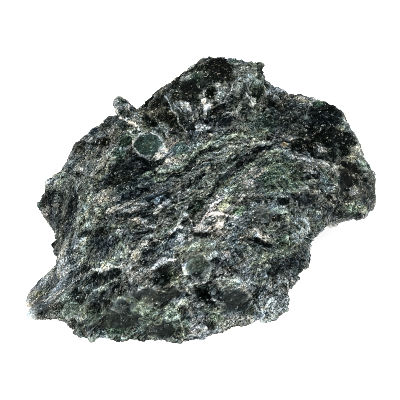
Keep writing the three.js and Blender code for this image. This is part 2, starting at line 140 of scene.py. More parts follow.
# Ledges: the rock on the left of the path stands up by the rise and falls back over the reach.
LEDGES = [
    dict(path=[[-26, 0, 37], [11, 19, 41], [48, 38, 22]], rise=3.5, reach=14),
    dict(path=[[101, -2, -16], [94, 10, -10], [80, 26, -4], [60, 38, 10]], rise=4.5, reach=14),
    dict(path=[[50, 96, -22], [51, 81, -16], [44, 60, 0], [34, 46, 14]], rise=-5, reach=18),
    dict(path=[[14, -30, 54], [36, -24, 48], [58, -18, 34]], rise=3, reach=10),
    dict(path=[[-60, -36, 42], [-34, -34, 54], [-8, -22, 54]], rise=3, reach=12),
    dict(
        path=[[-82, 40, -10], [-62, 46, 0], [-40, 56, 2], [-14, 56, 16], [16, 56, 18]], rise=4, reach=16),
    dict(path=[[-100, -64, 34], [-74, -56, 40], [-52, -58, 54]], rise=3, reach=10),
]

# Flat cleavage plates: middle, half length and half width, turn (deg), rise.
PLATES = [
    dict(at=[-41, -65, 58], half=[16, 8], turn=2, rise=-1),
    dict(at=[-21, -43, 59], half=[12, 6], turn=-20, rise=-1),
    dict(at=[1, -30, 56], half=[11, 10], turn=0, rise=0.5),
    dict(at=[61, -32, 15], half=[11, 6], turn=20, rise=0.5),
    dict(at=[-37, 39, 16], half=[11, 10], turn=0, rise=0.5),
    dict(at=[-27, 64, 0], half=[15, 11], turn=60, rise=0),
    dict(at=[-2, 80, 4], half=[12, 10], turn=40, rise=0),
    dict(at=[18, 92, -4], half=[13, 10], turn=-10, rise=0),
    dict(at=[76, 1, 18], half=[12, 8], turn=-20, rise=0),
    dict(at=[111, 14, -28], half=[12, 11], turn=30, rise=0),
    dict(at=[-92, -4, -2], half=[18, 9], turn=70, rise=0),
    dict(at=[24, -62, 46], half=[13, 9], turn=70, rise=-1),
    dict(at=[-80, -70, 46], half=[14, 7], turn=20, rise=0),
    dict(at=[15, 53, -76], half=[34, 24], turn=12, rise=-1),
    dict(at=[98, 39, -81], half=[24, 22], turn=-30, rise=0),
    dict(at=[-60, 24, -73], half=[30, 22], turn=20, rise=0),
    dict(at=[24, 12, -93], half=[36, 14], turn=5, rise=1),
    dict(at=[-104, 6, -50], half=[13, 10], turn=70, rise=0),
    dict(at=[135, 13, -75], half=[14, 12], turn=0, rise=-3),
]

# Broken facets, and the terraces that the layers weather into.
FACET_COUNT = 190
FACET_ACROSS = 1.7  # how many times nearer facets lie across the layers than along them
FACET_TILT = 0.28
FACET_STRENGTH = 0.8
FACET_LIMIT = 4.5
TERRACE_SPACING = 15
TERRACE_RISE = 1.6

# Marks on the broad face. Each is an ellipse on the sight plane, which stands square to the line of sight
# through u = v = w = 0: s along, t up, half length, half width (mm), turn (deg), then tone (-1 black to
# 1 white), warmth (-1 blue to 1 brown), green (-1 pinkish to 1 green) and how pale its rim is, with the
# zeros at a mark's end left out. Broad marks come first, and each later mark lies over the earlier ones.
# Most marks are the rock's own colour, but the pale marks of tone 0.95 and above are painted glints of
# flakes that catch the light, and the dark marks named where they stand are painted shade.
SIGHT_DISTANCE = 600
BROAD_MARKS = [
    (-1, 94, 13, 6.5, 35, -0.1, 0.1), (11, 91, 15.5, 10.5, 5, -0.6, 0.35),
    (-6, 76, 13, 8.5, 10, -0.5, 0.2, 0.1), (37, 82, 12, 18, -5, -0.1, 0.02, 0.2),
    (30, 64, 10, 7, 0, -0.05, 0, 0.1), (-25, 62, 14.5, 10, -60, -0.45, 0.3),
    (5, 55, 20, 8.5, 0, -0.35, -0.15, -0.1), (66, 58, 18.5, 13, -25, -0.45, -0.05, 0.05),
    (96, 53, 18.5, 20, -30, -0.75, 0, 0.05), (12, 38, 40, 6.5, 25, 0.1, -0.05, 0.2),
    (19, 24, 33, 10, 33, 0.12, -0.1, 0.15), (60, 15, 15.5, 13, 0, 0, 0, 0.5),
    (87, 24, 17, 5.5, -15, 0.1, 0.05), (110, 10, 14.5, 15.5, 60, -0.2, 0.2),
    (84, -4, 25.5, 8.5, -5, -0.25, -0.1, 0.05), (73, -26, 14.5, 15.5, 0, 0.05, 0, 0.15),
    (63, -45, 18.5, 8.5, 20, -0.3, -0.15, 0.1), (46, -9, 13, 10, 0, -0.1, -0.1, 0.05),
    (-57, 51, 21.5, 7, 40, -0.05, 0.05, -0.05), (-81, 24, 21.5, 13, 65, 0.05, 0.1, 0.05),
    (-46, 16, 24.5, 13, 15, -0.5, -0.1), (-97, -16, 21.5, 13, 85, -0.1, 0.05),
    (-80, -24, 30, 6.5, 87, 0.2, -0.05, 0.2), (-64, -28, 18.5, 10, 60, -0.15, -0.05, 0.05),
    (-31, -6, 28.5, 14.5, 22, -0.2, -0.1), (5, -11, 21.5, 11.5, 40, 0.12, 0.02),
    (-6, -33, 28.5, 10, 8, 0.12, 0, 0.1), (-27, -54, 15.5, 11.5, 0, -0.2, 0.1),
    (26, -47, 15.5, 11.5, 20, 0.02, -0.05), (-102, -67, 20, 8.5, 30, 0.02, -0.1),
    (-77, -66, 17, 14.5, 0, -0.15, -0.05, 0.1), (-86, -81, 13, 8.5, 0, 0.15, 0, 0.35),
    (-53, -82, 24.5, 17, 0, -0.35, 0.05, 0.1), (-29, -71, 21.5, 10, 0, -0.3, 0.1),
    (-25, -91, 21.5, 8.5, 0, -0.2, 0, 0.25), (19, -74, 21.5, 11.5, -3, -0.2, -0.1, 0.1),
    (12, -90, 24.5, 8.5, 15, 0.08, 0.05, -0.05), (51, -74, 14.5, 17, 60, 0.42, -0.1, 0.05),
    (63, -61, 10, 13, 60, 0.25, -0.05, 0.05), (21, -88, 17, 5, 14, 0.4, 0.05),
]

DARK_MARKS = [
    (14, 92, 12, 8.5, 5, -1, 0.45, -0.1), (7, 88, 5.5, 5, 0, -0.8, 0.3, 0.1),
    (-1, 85, 5, 3.5, 10, -0.5, 0, 0.6), (-9, 79, 8.5, 6.5, 20, -1, 0.3, -0.1),
    (-15, 76, 4.5, 3.5, 0, -0.5, 0.2, 0.1), (9, 76, 3.5, 4.5, 0, -0.95, 0.3),
    (-1, 71, 3, 6.5, -70, -0.5, 0.1, 0.2), (13, 65, 8.5, 3, 15, -0.8, 0, -0.1),
    (43, 76, 5.5, 3.5, 80, -0.5, -0.1, 0.4), (40, 79, 2, 6.5, 0, -0.2, 0, 0.4),
    (34, 64, 3.5, 5.5, 10, -0.5, 0, 0.1), (33, 84, 4.5, 3.5, 0, -0.22, 0, 0.15),
    (-9, 89, 4.5, 2, 35, -0.6, 0.1), (46, 43, 5.5, 2, -10, -0.35, 0.1, 0.2),
    (59, 42, 3.5, 2, 0, -0.5, 0.1), (-75, -9, 2, 4.5, 10, -0.35, 0, 0.1), (84, 9, 5, 3, 0, -0.42),
    (-21, -34, 3.5, 3, 20, -0.32, -0.2), (-102, -71, 3.5, 2, 20, -0.25, -0.1, -0.1),
    (25, 68, 4.5, 4.5, 0, -0.25, 0, 0.1), (17, 55, 7, 3.5, 10, -0.5, -0.3, -0.1),
    (6, 58, 6.5, 3, 0, -0.5, -0.3, -0.2), (-6, 51, 7, 3.5, -30, -0.5, -0.2, -0.2),
    (-14, 47, 6.5, 4.5, -30, -0.55, 0.1, -0.1), (-27, 65, 6.5, 10, 30, -0.9, 0.5, -0.1),
    (-20, 56, 4.5, 6.5, 30, -0.75, 0.45), (-33, 55, 5, 3, -50, -0.65, -0.3, 0.1),
    (-12, 61, 3, 5, 25, -0.5, 0.1), (-26, 46, 3, 3, 0, -0.35, 0.2, 0.2),
    (-1, 45, 6.5, 3, 30, -0.45, -0.1), (24, 48, 5.5, 3, 10, -0.35, -0.1),
    (2, 6, 5.5, 3, 35, -0.35, -0.1, 0.1), (-14, -1, 4.5, 3.5, 30, -0.35),
    (61, 65, 11.5, 5.5, -15, -0.55, 0.05), (49, 54, 8, 8, 0, -0.3, -0.3, 0.4),
    (70, 54, 10, 5, -15, -0.5), (51, 44, 3.5, 2, -30, -0.9), (53, 40, 5, 2, 20, -0.55),
    (91, 61, 12, 8, -10, -1, -0.15), (94, 47, 18.5, 5.5, -12, -0.85, 0.15),
    # (75, 38) here and (81, 32) on the next line are painted shade in the hollow under the right wing.
    (108, 40, 6.5, 6.5, 0, -0.85, 0.05), (75, 38, 10, 5.5, 8, -0.98, 0.3),
    (96, 33, 9.5, 3, -5, -0.55, 0.05, 0.2), (81, 32, 11.5, 2, -15, -0.5),
    (107, 16, 8.5, 9.5, 20, -0.78, 0.4, 0, 0.15), (104, 7, 4.5, 4.5, 30, -0.6, 0.3),
    (119, 9, 4.5, 14.5, -5, -0.35, 0.1), (124, 6, 2, 11.5, 0, -0.38, 0.1),
    (83, 17, 5.5, 4.5, 0, -0.7, -0.1), (75, 22, 5.5, 3.5, -20, -0.4), (61, 11, 4.5, 3, 0, -0.5, 0, 0.4),
    (72, 16, 5, 3.5, 0, -0.35, 0, 0.3), (73, 1, 12, 4.5, -4, -0.5, -0.3, -0.1),
    (62, -1, 4.5, 3, 0, -0.9, -0.2), (94, 1, 9.5, 3, -35, -0.55, 0.1, -0.1),
    (91, -8, 14.5, 3.5, -6, -0.45, -0.1, -0.1), (107, -12, 10, 2, 10, -0.4, 0.1),
    (56, -13, 3.5, 3.5, 0, -0.6, 0.2), (61, -19, 3.5, 2, 0, -0.6, -0.3),
    (63, -31, 7, 5.5, 0, -0.25, 0, 0.5), (66, -45, 10.5, 4.5, 14, -0.4, -0.35),
    (56, -51, 7, 3, 30, -0.6, -0.1), (79, -36, 2, 5, 0, 0.25), (77, -46, 2, 5, -20, 0.12, 0, 0.05),
    # (41, 34) is a painted shadow in the gap under the overhanging plate of the diagonal ledge.
    (86, -19, 5.5, 2, 15, -0.1, 0, 0.3), (41, 34, 17, 2.5, 32, -0.75, -0.15),
    (30, 22, 14.5, 2, 33, -0.6, -0.1), (24, 26, 6.5, 3.5, 33, -0.2, -0.1, 0.25),
    (-5, 24, 6.5, 2, 42, -0.75, -0.1), (20, 16, 5.5, 2.5, 25, -0.5, -0.1),
    (1, 16, 14.5, 1.5, 33, -0.25, -0.1, 0.1), (6, 34, 15.5, 2, 30, -0.45, -0.2),
    (-85, 38, 5.5, 3.5, 30, -0.65, 0.25), (-74, 49, 4.5, 3, 30, -0.5, -0.4),
    (-66, 54, 7, 3, 35, -0.35, 0.05, -0.1), (-68, 41, 5, 3, 35, -0.7, 0.45),
    (-94, 22, 3.5, 5, 60, -0.15), (-54, 53, 5.5, 3.5, -20, -0.35, -0.4, 0.1),
    (-51, 61, 3.5, 4.5, -20, -0.35, 0, 0.1), (-51, 70, 5.5, 4.5, 0, -0.3, -0.05, 0.2),
    (-52, 42, 5, 4.5, 30, -0.35, 0, 0.6), (-58, 31, 7, 5.5, 20, -0.2, -0.35, 0.45),
    (-36, 39, 10.5, 8.5, 20, -0.2, -0.4, 0.55, 0.45), (-29, 26, 5, 3, 30, -0.75, -0.2, -0.1),
    (-43, 29, 6.5, 3.5, -20, -0.75, -0.2, -0.3), (-36, 22, 5.5, 4.5, 0, -0.65, -0.4),
    (-56, 14, 10, 5.5, 15, -0.8, 0.3), (-59, 21, 5.5, 5, 0, -0.6, 0.1), (-64, 9, 6.5, 2, 20, -0.6, 0.1),
    (-36, 14, 14.5, 3.5, 15, -0.5, -0.2), (-41, 6, 14.5, 3.5, 15, -0.45, -0.3),
    (-29, 1, 11.5, 3, 18, -0.55, -0.7), (-49, 2, 7, 3, 20, -0.6, -0.4),
    (-73, 9, 3, 6.5, -25, -0.65, 0.1), (-106, 0, 6.5, 5.5, 0, -0.8, -0.2, -0.2),
    (-103, -12, 6.5, 5.5, 70, -0.5, -0.15, -0.2), (-89, -5, 8.5, 3.5, 72, -0.65, -0.15, -0.3),
    (-94, -15, 6.5, 2, 75, -0.5, 0, -0.1), (-83, 6, 4.5, 2, 60, -0.35),
    (-70, -24, 5.5, 3, 60, -0.65, 0.3), (-67, -32, 8, 5, 0, -0.38, -0.35, -0.1),
    (-76, -36, 7, 3, 85, -0.4, 0, 0.2), (-71, -58, 5.5, 5, 0, -0.65, 0.15),
    (-61, -53, 6.5, 3.5, 15, -0.75, -0.2), (-86, -51, 8.5, 3.5, 30, -0.05, -0.35),
    (-99, -62, 7, 3.5, 40, -0.22, -0.2, -0.1), (-84, -68, 5.5, 5.5, 0, -0.75, 0, 0.1),
    (-86, -60, 5, 3, 0, -0.65, -0.2, 0.5), (-109, -76, 10, 3, 3, -0.6, -0.05, -0.35),
    (-113, -80, 5, 2, -10, -0.6), (-116, -69, 2, 2, 0, -0.5), (-61, -68, 10.5, 5, 22, -0.65, -0.2),
    (-75, -77, 5.5, 3.5, 0, -0.55), (-74, -81, 6.5, 3, 0, -0.2, 0, 0.5),
    (-55, -76, 12, 7, -8, -0.38, 0.12, 0, 0.35), (-54, -86, 17, 8.5, 4, -0.35, 0.05, 0.2, 0.35),
    (-57, -94, 10, 2, 0, -0.2, -0.2, 0.8), (-79, -91, 5.5, 4.5, 0, -0.45, -0.1),
    (-79, -96, 5.5, 2, -20, -0.6), (-52, -11, 7, 3, 10, -0.65, -0.2, -0.2),
    (-63, -9, 6.5, 2.5, 15, -0.65), (-37, -6, 6.5, 2, 20, -0.55, -0.1), (-37, -11, 8.5, 2, 10, -0.6),
    (-37, -23, 10, 2, 12, -0.6), (-1, -5, 8, 3.5, 35, -0.6, 0, 0.5), (-9, -16, 4.5, 3.5, 40, -0.5),
    (1, -25, 10, 2, -8, -0.85), (-19, -27, 5, 3, 0, -0.7, -0.4),
    (-34, -31, 6.5, 3.5, 10, -0.6, -0.2, -0.1), (-36, -39, 10, 2, 25, -0.5, -0.4),
    # (46, -31) is a painted shadow under the ledge whose lit top is painted white at (44, -25).
    (-39, -45, 3.5, 2, 0, -0.7), (46, -31, 9.5, 2, -25, -0.95, 0.1), (34, -28, 7, 3.5, 0, -0.4, 0.2),
    (41, -15, 5.5, 2, 30, -0.5, -0.1, 0.2), (46, -11, 6.5, 5.5, 0, -0.15, -0.25, 0.05, 0.15),
    # (-25, -57) here and (-24, -50) on the next line are painted shade in the pit.
    (36, -6, 4.5, 3, 0, -0.35, -0.1, 0.1), (-25, -57, 5.5, 8, -10, -0.98, 0.05, 0.1),
    (-24, -50, 5, 3, 15, -0.7, 0.2), (-16, -55, 3.5, 6.5, 10, 0.02, 0.3, 0.3),
    (0, -48, 8.5, 9.5, 10, -0.02, -0.05, 0.25, 0.3), (-1, -55, 7, 3, 0, -0.5, -0.1),
    (15, -46, 4.5, 3.5, 0, -0.5, -0.25, -0.4), (30, -42, 4.5, 5, 20, -0.4, -0.1, -0.1),
    (24, -51, 7, 3, -40, -0.45, 0.1, -0.2), (8, -68, 10, 6.5, -22, -0.92),
    (17, -72, 5.5, 3.5, -20, -0.7), (6, -63, 5.5, 2, 0, -0.4, -0.4, 0.4),
    (-12, -69, 5.5, 2, 15, -0.7, -0.3), (-33, -69, 18.5, 6, 6, -0.37, 0.12, 0, 0.4),
    (-49, -66, 8.5, 3.5, 0, -0.5), (-26, -74, 7, 3, 10, -0.5, 0.15),
    (26, -73, 10.5, 8.5, 0, -0.27, -0.15, 0.12, 0.2), (-11, -79, 3.5, 4.5, 0, -0.38, 0, -0.2),
    (-8, -86, 3.5, 1.5, 0, -0.3, -0.2), (-25, -93, 10.5, 5.5, 0, -0.5, -0.15, 0.35, 0.3),
    (-34, -90, 5.5, 4.5, 0, -0.45, 0, 0.1), (-27, -99, 11.5, 2, 0, -0.5, -0.2, 0.1),
    (9, -91, 3, 3.5, 0, -0.7, 0.3), (36, -81, 5.5, 5.5, 0, -0.25, 0, 0.1),
    (41, -64, 3.5, 6.5, 0, -0.25, 0, 0.1), (63, -69, 4.5, 2, 40, -0.25), (30, -67, 4.5, 3, 0, -0.3),
]

# Pale marks; those of tone 0.95 and above are painted glints.
PALE_MARKS = [
    (16, 74, 3.5, 4, 10, 0.36, -0.05, 0.15), (16, 70, 4.5, 1.5, 0, 0.43, -0.05, 0.1),
    (4, 71, 2, 5, 0, 1, 0.1), (6, 66, 5, 2, 35, 0.95, 0.1), (4, 76, 2, 3, -30, 0.4, 0.2),
    (15, 81, 4.5, 1.5, -30, 0.36), (-11, 66, 5, 1.5, -65, 0.58, 0.05),
    (-7, 66, 4.5, 1.5, -60, 0.65, 0.05), (4, 51, 4.5, 2, 0, 0.95), (11, 59, 2, 1.5, 0, 0.5),
    (-3, 57, 5.5, 1.5, 30, 0.29, -0.1, 0.1), (30, 92, 5.5, 4.5, 0, 0.1),
    (39, 69, 1.5, 3, -20, 0.29, 0, 0.15), (29, 58, 7, 1.5, -25, 0.25, 0.05),
    (46, 47, 5, 2, -10, 0.3, 0.2, 0.4), (62, 39, 2, 1.5, 0, 0.15, 1),
    (69, 72, 13, 1.5, -18, 0.4, 0.3, 0.1), (105, 57, 3, 4, 15, 0.4, 0.2, 0.2),
    (103, 51, 4.5, 1.5, 0, 0.29, 0.2, 0.3), (85, 68, 4.5, 2, 20, -0.3, -0.2, 0.8),
    (104, 44, 3, 1.5, -20, 0.25, -0.2), (111, 29, 4.5, 2.5, 0, 0.61, 0.5, 0.2),
    (104, 29, 3, 1.5, 0, 0.29, 0.2), (114, 36, 1.5, 4.5, 0, 0.36, 0.3, 0.1),
    (90, 35, 5.5, 2, -8, 0.15, 0.2, -0.1), (76, 29, 8.5, 2, -15, 0.25),
    (91, 24, 8.5, 1.5, -8, 0.29, 0.1), (99, 14, 1.5, 5.5, -10, 0.32, 0.1, 0.3),
    (111, 17, 1.5, 1.5, 0, 0.95), (111, 4, 3, 2.5, 0, 0.36, -0.2), (120, 25, 3, 5, 20, 0.3, 0, 0.4),
    (91, 16, 3, 6.5, 10, 0.2, -0.3, 0.3), (93, 7, 3, 2.5, 0, 0.36, -0.3, 0.1),
    (82, 19, 4.5, 1.5, -10, 0.43, -0.1), (74, 8, 3.5, 1.5, -10, 0.25),
    (110, -6, 8, 4.5, 0, 0.25, 0.1, 0.5), (72, -28, 5, 3.5, 40, 1, -0.2, 0.1),
    (75, -22, 3.5, 3, 60, 0.95, -0.2, 0.15), (71, -29, 3.5, 1.5, 20, 0.54, -0.2, 0.1),
    (66, -13, 4.5, 1.5, 10, 0.29, -0.2, 0.1), (84, -26, 3, 4.5, 45, 0.1),
    (66, -38, 8.5, 1.5, 20, 0.3, 0.1, 0.3), (58, -64, 8.5, 4.5, 20, 0.3, -0.1, 0.05),
    (67, -57, 3, 3, 30, 0.54, -0.1), (61, -68, 3.5, 3, 0, 0.61, -0.1, 0.05),
    (63, -54, 5.5, 1.5, 30, 0.3, -0.1), (60, -9, 5.5, 1.5, 0, 0.29, 0.1, 0.3),
    (53, -21, 4.5, 3, 0, 0.25, 0.05, 0.25), (57, -7, 4.5, 1.5, 20, 0.32, 0.1, 0.2),
    (-11, 33, 6.5, 3.5, 50, 0.12, -0.3, 0.4), (-4, 37, 4.5, 3, 40, 0.2, -0.2, 0.2),
    (-6, 12, 3.5, 3, 20, 0.29, 0, 0.1), (82, -9, 5, 2, -5, 0.2, 0, 0.2),
    (-19, 26, 5.5, 3.5, 25, 1, 0.1), (-26, 34, 2.5, 5, -30, 0.95, 0.05),
    (-12, 28, 4.5, 2.5, 40, 0.65, 0, 0.1), (4, 26, 3.5, 1.5, 20, 0.29, 0.05, -0.2),
    (35, 18, 5, 1.5, 35, 0.36, 0.15, -0.2), (36, 12, 4.5, 2.5, 20, 0.58, 0.1, -0.2),
    (38, 8, 3, 1.5, 0, 0.36, 0.1), (27, 14, 4.5, 1.5, 35, 0.25), (46, 29, 10, 1.5, 32, 0.29, 0.2, 0.3),
    (30, 47, 8.5, 1.5, 10, 0.25, 0.1, 0.2), (21, 41, 10, 1.5, 22, 0.1, 0, 0.2),
    (46, 40, 13, 1.5, 8, 0.32, 0, 0.1), (-6, 8, 3, 5.5, 10, 0.18, 0, 0.2), (11, 4, 2, 4.5, 10, 0.05),
    (-50, 65, 2, 3, -10, 0.58, 0.1), (-57, 65, 2, 1.5, 0, 0.29),
    (-50, 56, 5.5, 1.5, -20, 0.43, 0.1, 0.1), (-43, 58, 2, 6.5, 10, 0.2, 0, 0.1),
    (-44, 50, 4.5, 3, 50, 0.43, 0.2, 0.15), (-48, 46, 3.5, 1.5, 0, 0.32, 0.2, 0.3),
    (-24, 52, 3.5, 4.5, 20, 0.15, 0, 0.2), (-61, 47, 3.5, 2.5, 60, 0.36, 0.1, -0.1),
    (-57, 47, 2, 5.5, 10, 0.25, 0, 0.1), (-90, 32, 3.5, 1.5, 0, 0.4),
    (-67, 24, 3.5, 8.5, -35, 0.22, 0.1, 0.05), (-72, 15, 3, 8.5, -30, -0.05, 0.05, 0.1),
    (-77, 2, 3, 7, -10, 0.25, 0, 0.15), (-66, 5, 7, 3, 25, 0.36, 0.3, 0.05),
    (-68, 0, 4.5, 2.5, 20, 0.43, 0.35), (-54, -5, 10, 1.5, 22, 0.58, 0.05),
    (-47, -8, 7, 1.5, 10, 0.5, 0.1), (-61, -1, 5, 1.5, 20, 0.43), (-34, 19, 7, 1.5, 30, 0.3, 0.05, 0.4),
    (-27, 14, 5, 3, 0, 0.05, 0.2, 0.5), (-24, -4, 5.5, 2, 30, 0.95), (-29, -8, 3.5, 2.5, 40, 0.95),
    (-14, 6, 2, 4.5, -5, 0.15), (-13, -12, 2, 8.5, 5, 0.3, 0, 0.1),
    (-17, -22, 4.5, 1.5, 20, 0.65, -0.1), (-8, -28, 5.5, 1.5, 10, 0.32, 0.05, -0.25),
    (-9, -29, 6.5, 1.5, 0, 0.43), (4, -21, 7, 2.5, 0, 0.97, 0.05, -0.2),
    (14, -24, 4.5, 4.5, 0, 1, 0.08, -0.2), (12, -5, 6.5, 1.5, 55, 0.65, 0.05, -0.3),
    (14, -11, 5.5, 2, 0, 0.95, 0.05, -0.2), (6, -12, 3.5, 1.5, 40, 0.5, 0, -0.2),
    (14, -18, 4.5, 4, 60, 0.95, 0.05, -0.12), (17, -25, 6.5, 4, 0, 0.25, 0.1, -0.2),
    (22, -1, 7, 3.5, 60, 1, 0.2, 0.3), (26, -11, 7, 1.5, 10, 0.43, 0.2, 0.3),
    # (44, -25) is a painted highlight on the ledge's lit top, above the painted shadow at (46, -31).
    (29, -8, 5.5, 3.5, 20, 0.25, 0, 0.6), (44, -25, 8, 3, -30, 1, 0.12), (39, -23, 3.5, 1.5, -10, 0.58),
    (-39, -16, 5.5, 1.5, -15, 0.61, 0, -0.1), (-35, -19, 5.5, 1.5, -5, 0.29, 0, -0.1),
    (-38, -32, 3.5, 1.5, 30, 0.61), (-31, -29, 3.5, 1.5, -40, 0.43),
    (-1, -34, 13, 2.5, 8, 0.49, 0.1, 0.3), (-11, -32, 3.5, 1.5, 60, 0.5, -0.1),
    (8, -36, 5.5, 2.5, 20, 0.29, 0.1, 0.15), (-21, -44, 6.5, 2, 12, 0.61, 0.2, 0.05),
    (-29, -48, 4.5, 1.5, 30, 0.43, 0.2), (-36, -53, 5.5, 3.5, 0, 0.12, 0.1, -0.1),
    (-46, -39, 3.5, 4, 0, 0.61, 0.15), (-56, -23, 3, 2, 0, 0.65, 0.05),
    (-51, -50, 3.5, 2.5, 60, 0.43, 0, 0.1), (-64, -44, 7, 1.5, 12, 0.29, 0.5, 0.3),
    (-74, -46, 4.5, 1.5, 0, 0.25, 0.3, 0.3), (-83, -31, 3, 3, 0, 0.43, 0, 0.2),
    (-81, -6, 2, 11.5, -3, 0.28, 0, 0.25), (-86, -42, 5, 4.5, 10, 0.47, 0, 0.1),
    (-80, -24, 2.5, 6, 3, 0.58, 0.05, 0.3), (-67, -50, 10, 1.5, 14, 0.5, 0.05),
    (-110, -9, 3, 4, -15, 0.54, 0, -0.15), (-97, -41, 4.5, 13, -8, 0.02, 0.02),
    (-114, -68, 4.5, 2.5, 20, 0.29, 0.35, 0.15), (-109, -66, 3.5, 2.5, 0, 0.4, 0.15, 0.2),
    (-121, -74, 3, 2, 0, -0.2, 0.1), (-94, -71, 4.5, 3.5, 0, 0.3, 0, 0.3),
    (-90, -78, 4.5, 3, 0, 0.25, 0, 0.35), (-99, -81, 4.5, 2, 0, 0.61, 0, 0.2),
    (-88, -85, 8.5, 2, 0, 0.3, 0, 0.1), (-67, -64, 4.5, 1.5, 30, 0.25, 0, 0.2),
    (-75, -88, 4.5, 3, 30, 0.3, 0, 0.3), (-72, -96, 8, 2.5, -5, 0.27, -0.1),
    (-58, -66, 1.5, 2.5, 0, 0.58), (-53, -55, 5.5, 3.5, 0, -0.02),
    (-41, -76, 2, 4.5, -30, 0.15, 0.1, 0.4), (-36, -81, 7, 3.5, -5, 0.12, 0.2, 0.45),
    (-19, -81, 4.5, 5, 0, 0.14, 0.1, 0.4), (-10, -74, 6.5, 1.5, 15, 0.43, 0.05, 0.2),
    (-16, -73, 3, 1.5, 0, 0.54), (-6, -62, 3, 4.5, 10, 0.4, 0, 0.15),
    (-9, -55, 2, 4.5, -10, 0.25, 0, 0.2), (7, -54, 3, 4, -20, 0.32, -0.1, 0.1),
    (15, -57, 9.5, 1.5, 5, 0.36, 0.05, 0.32), (24, -44, 2, 2.5, 0, 0.25, -0.1, 0.1),
    (44, -58, 5, 2.5, 0, 0.37, 0, 0.2), (25, -59, 7, 2.5, 10, 0.29, 0, 0.25),
    (34, -63, 5.5, 2.5, 0, 0.54), (15, -74, 5, 1.5, -20, 0.5), (10, -80, 7, 2, 0, 0.2, 0.15, 0.3),
    (11, -85, 7, 2, 0, 0.25, 0.2, 0.4), (4, -86, 5, 3, 0, 0.61, 0.08, -0.25),
    (4, -96, 5, 1.5, 5, 0.58, 0.05), (-2, -90, 3.5, 4.5, 0, 0.3, 0.1, -0.2),
    (-4, -81, 3, 3, 0, 0.24, 0.05, -0.1), (-11, -96, 2, 2.5, 0, 0.32, 0, 0.3),
    (19, -90, 7, 2, 15, 0.3, 0, 0.1), (-9, -91, 3, 4.5, 0, 0.25, 0, 0.35),
    (-10, -98, 4.5, 1.5, 0, 0.29, 0, 0.3), (-49, -99, 17, 1.5, 0, 0.25, 0, 0.25),
    (-20, -101, 15.5, 1.5, 0, 0.25, 0, 0.1), (-67, -99, 4.5, 1.5, 0, 0.3, -0.1),
    (47, -49, 5.5, 1.5, 25, 0.29, 0, 0.2), (46, -45, 4.5, 1.5, 20, 0.32, 0.2, 0.3),
    (51, -74, 7, 1.5, 60, 0.43, -0.15), (49, -66, 3.5, 5.5, 0, 0.3, -0.1),
    (60, -72, 4.5, 4, 40, 0.25, -0.1), (40, -85, 8.5, 2.5, 8, 0.36),
    (51, -39, 6.5, 2.5, 20, 0.43, 0.1, 0.3), (21, -40, 3.5, 2.5, 0, 0.36, 0.1, -0.2),
    (42, 19, 5.5, 3, 30, 0.36, 0.1, -0.1), (-27, 21, 5.5, 2.5, 20, 0.47, 0.05, 0.1),
    (-104, 12, 4.5, 4, 0, 0.32, -0.1), (25, 31, 5.5, 1.5, 30, 0.32, -0.1, 0.15),
    (-86, -56, 6.5, 2.5, 30, 0.35, -0.25), (36, 77, 2, 3.5, 0, 0.25, 0, 0.2),
    (106, 50, 2, 3, 0, 0.3, 0.1, 0.1), (-13, 36, 5, 4.5, 40, -0.1, -0.3, 0.4),
    (-106, -23, 2, 3.5, 0, -0.3), (-40, -21, 3.5, 1.5, -30, 0.43), (-6, -17, 3, 2.5, 40, 0.32, 0, 0.1),
    (-25, -41, 3, 2, 20, -0.25, -0.2), (-107, -56, 3, 4.5, -40, 0.3, 0, 0.05),
    (-59, -71, 2, 3, 0, -0.45, 0.05), (-54, -63, 3, 2, 20, 0.2, 0, 0.05),
    (-81, -55, 3.5, 2.5, 30, 0.52, -0.25),
]

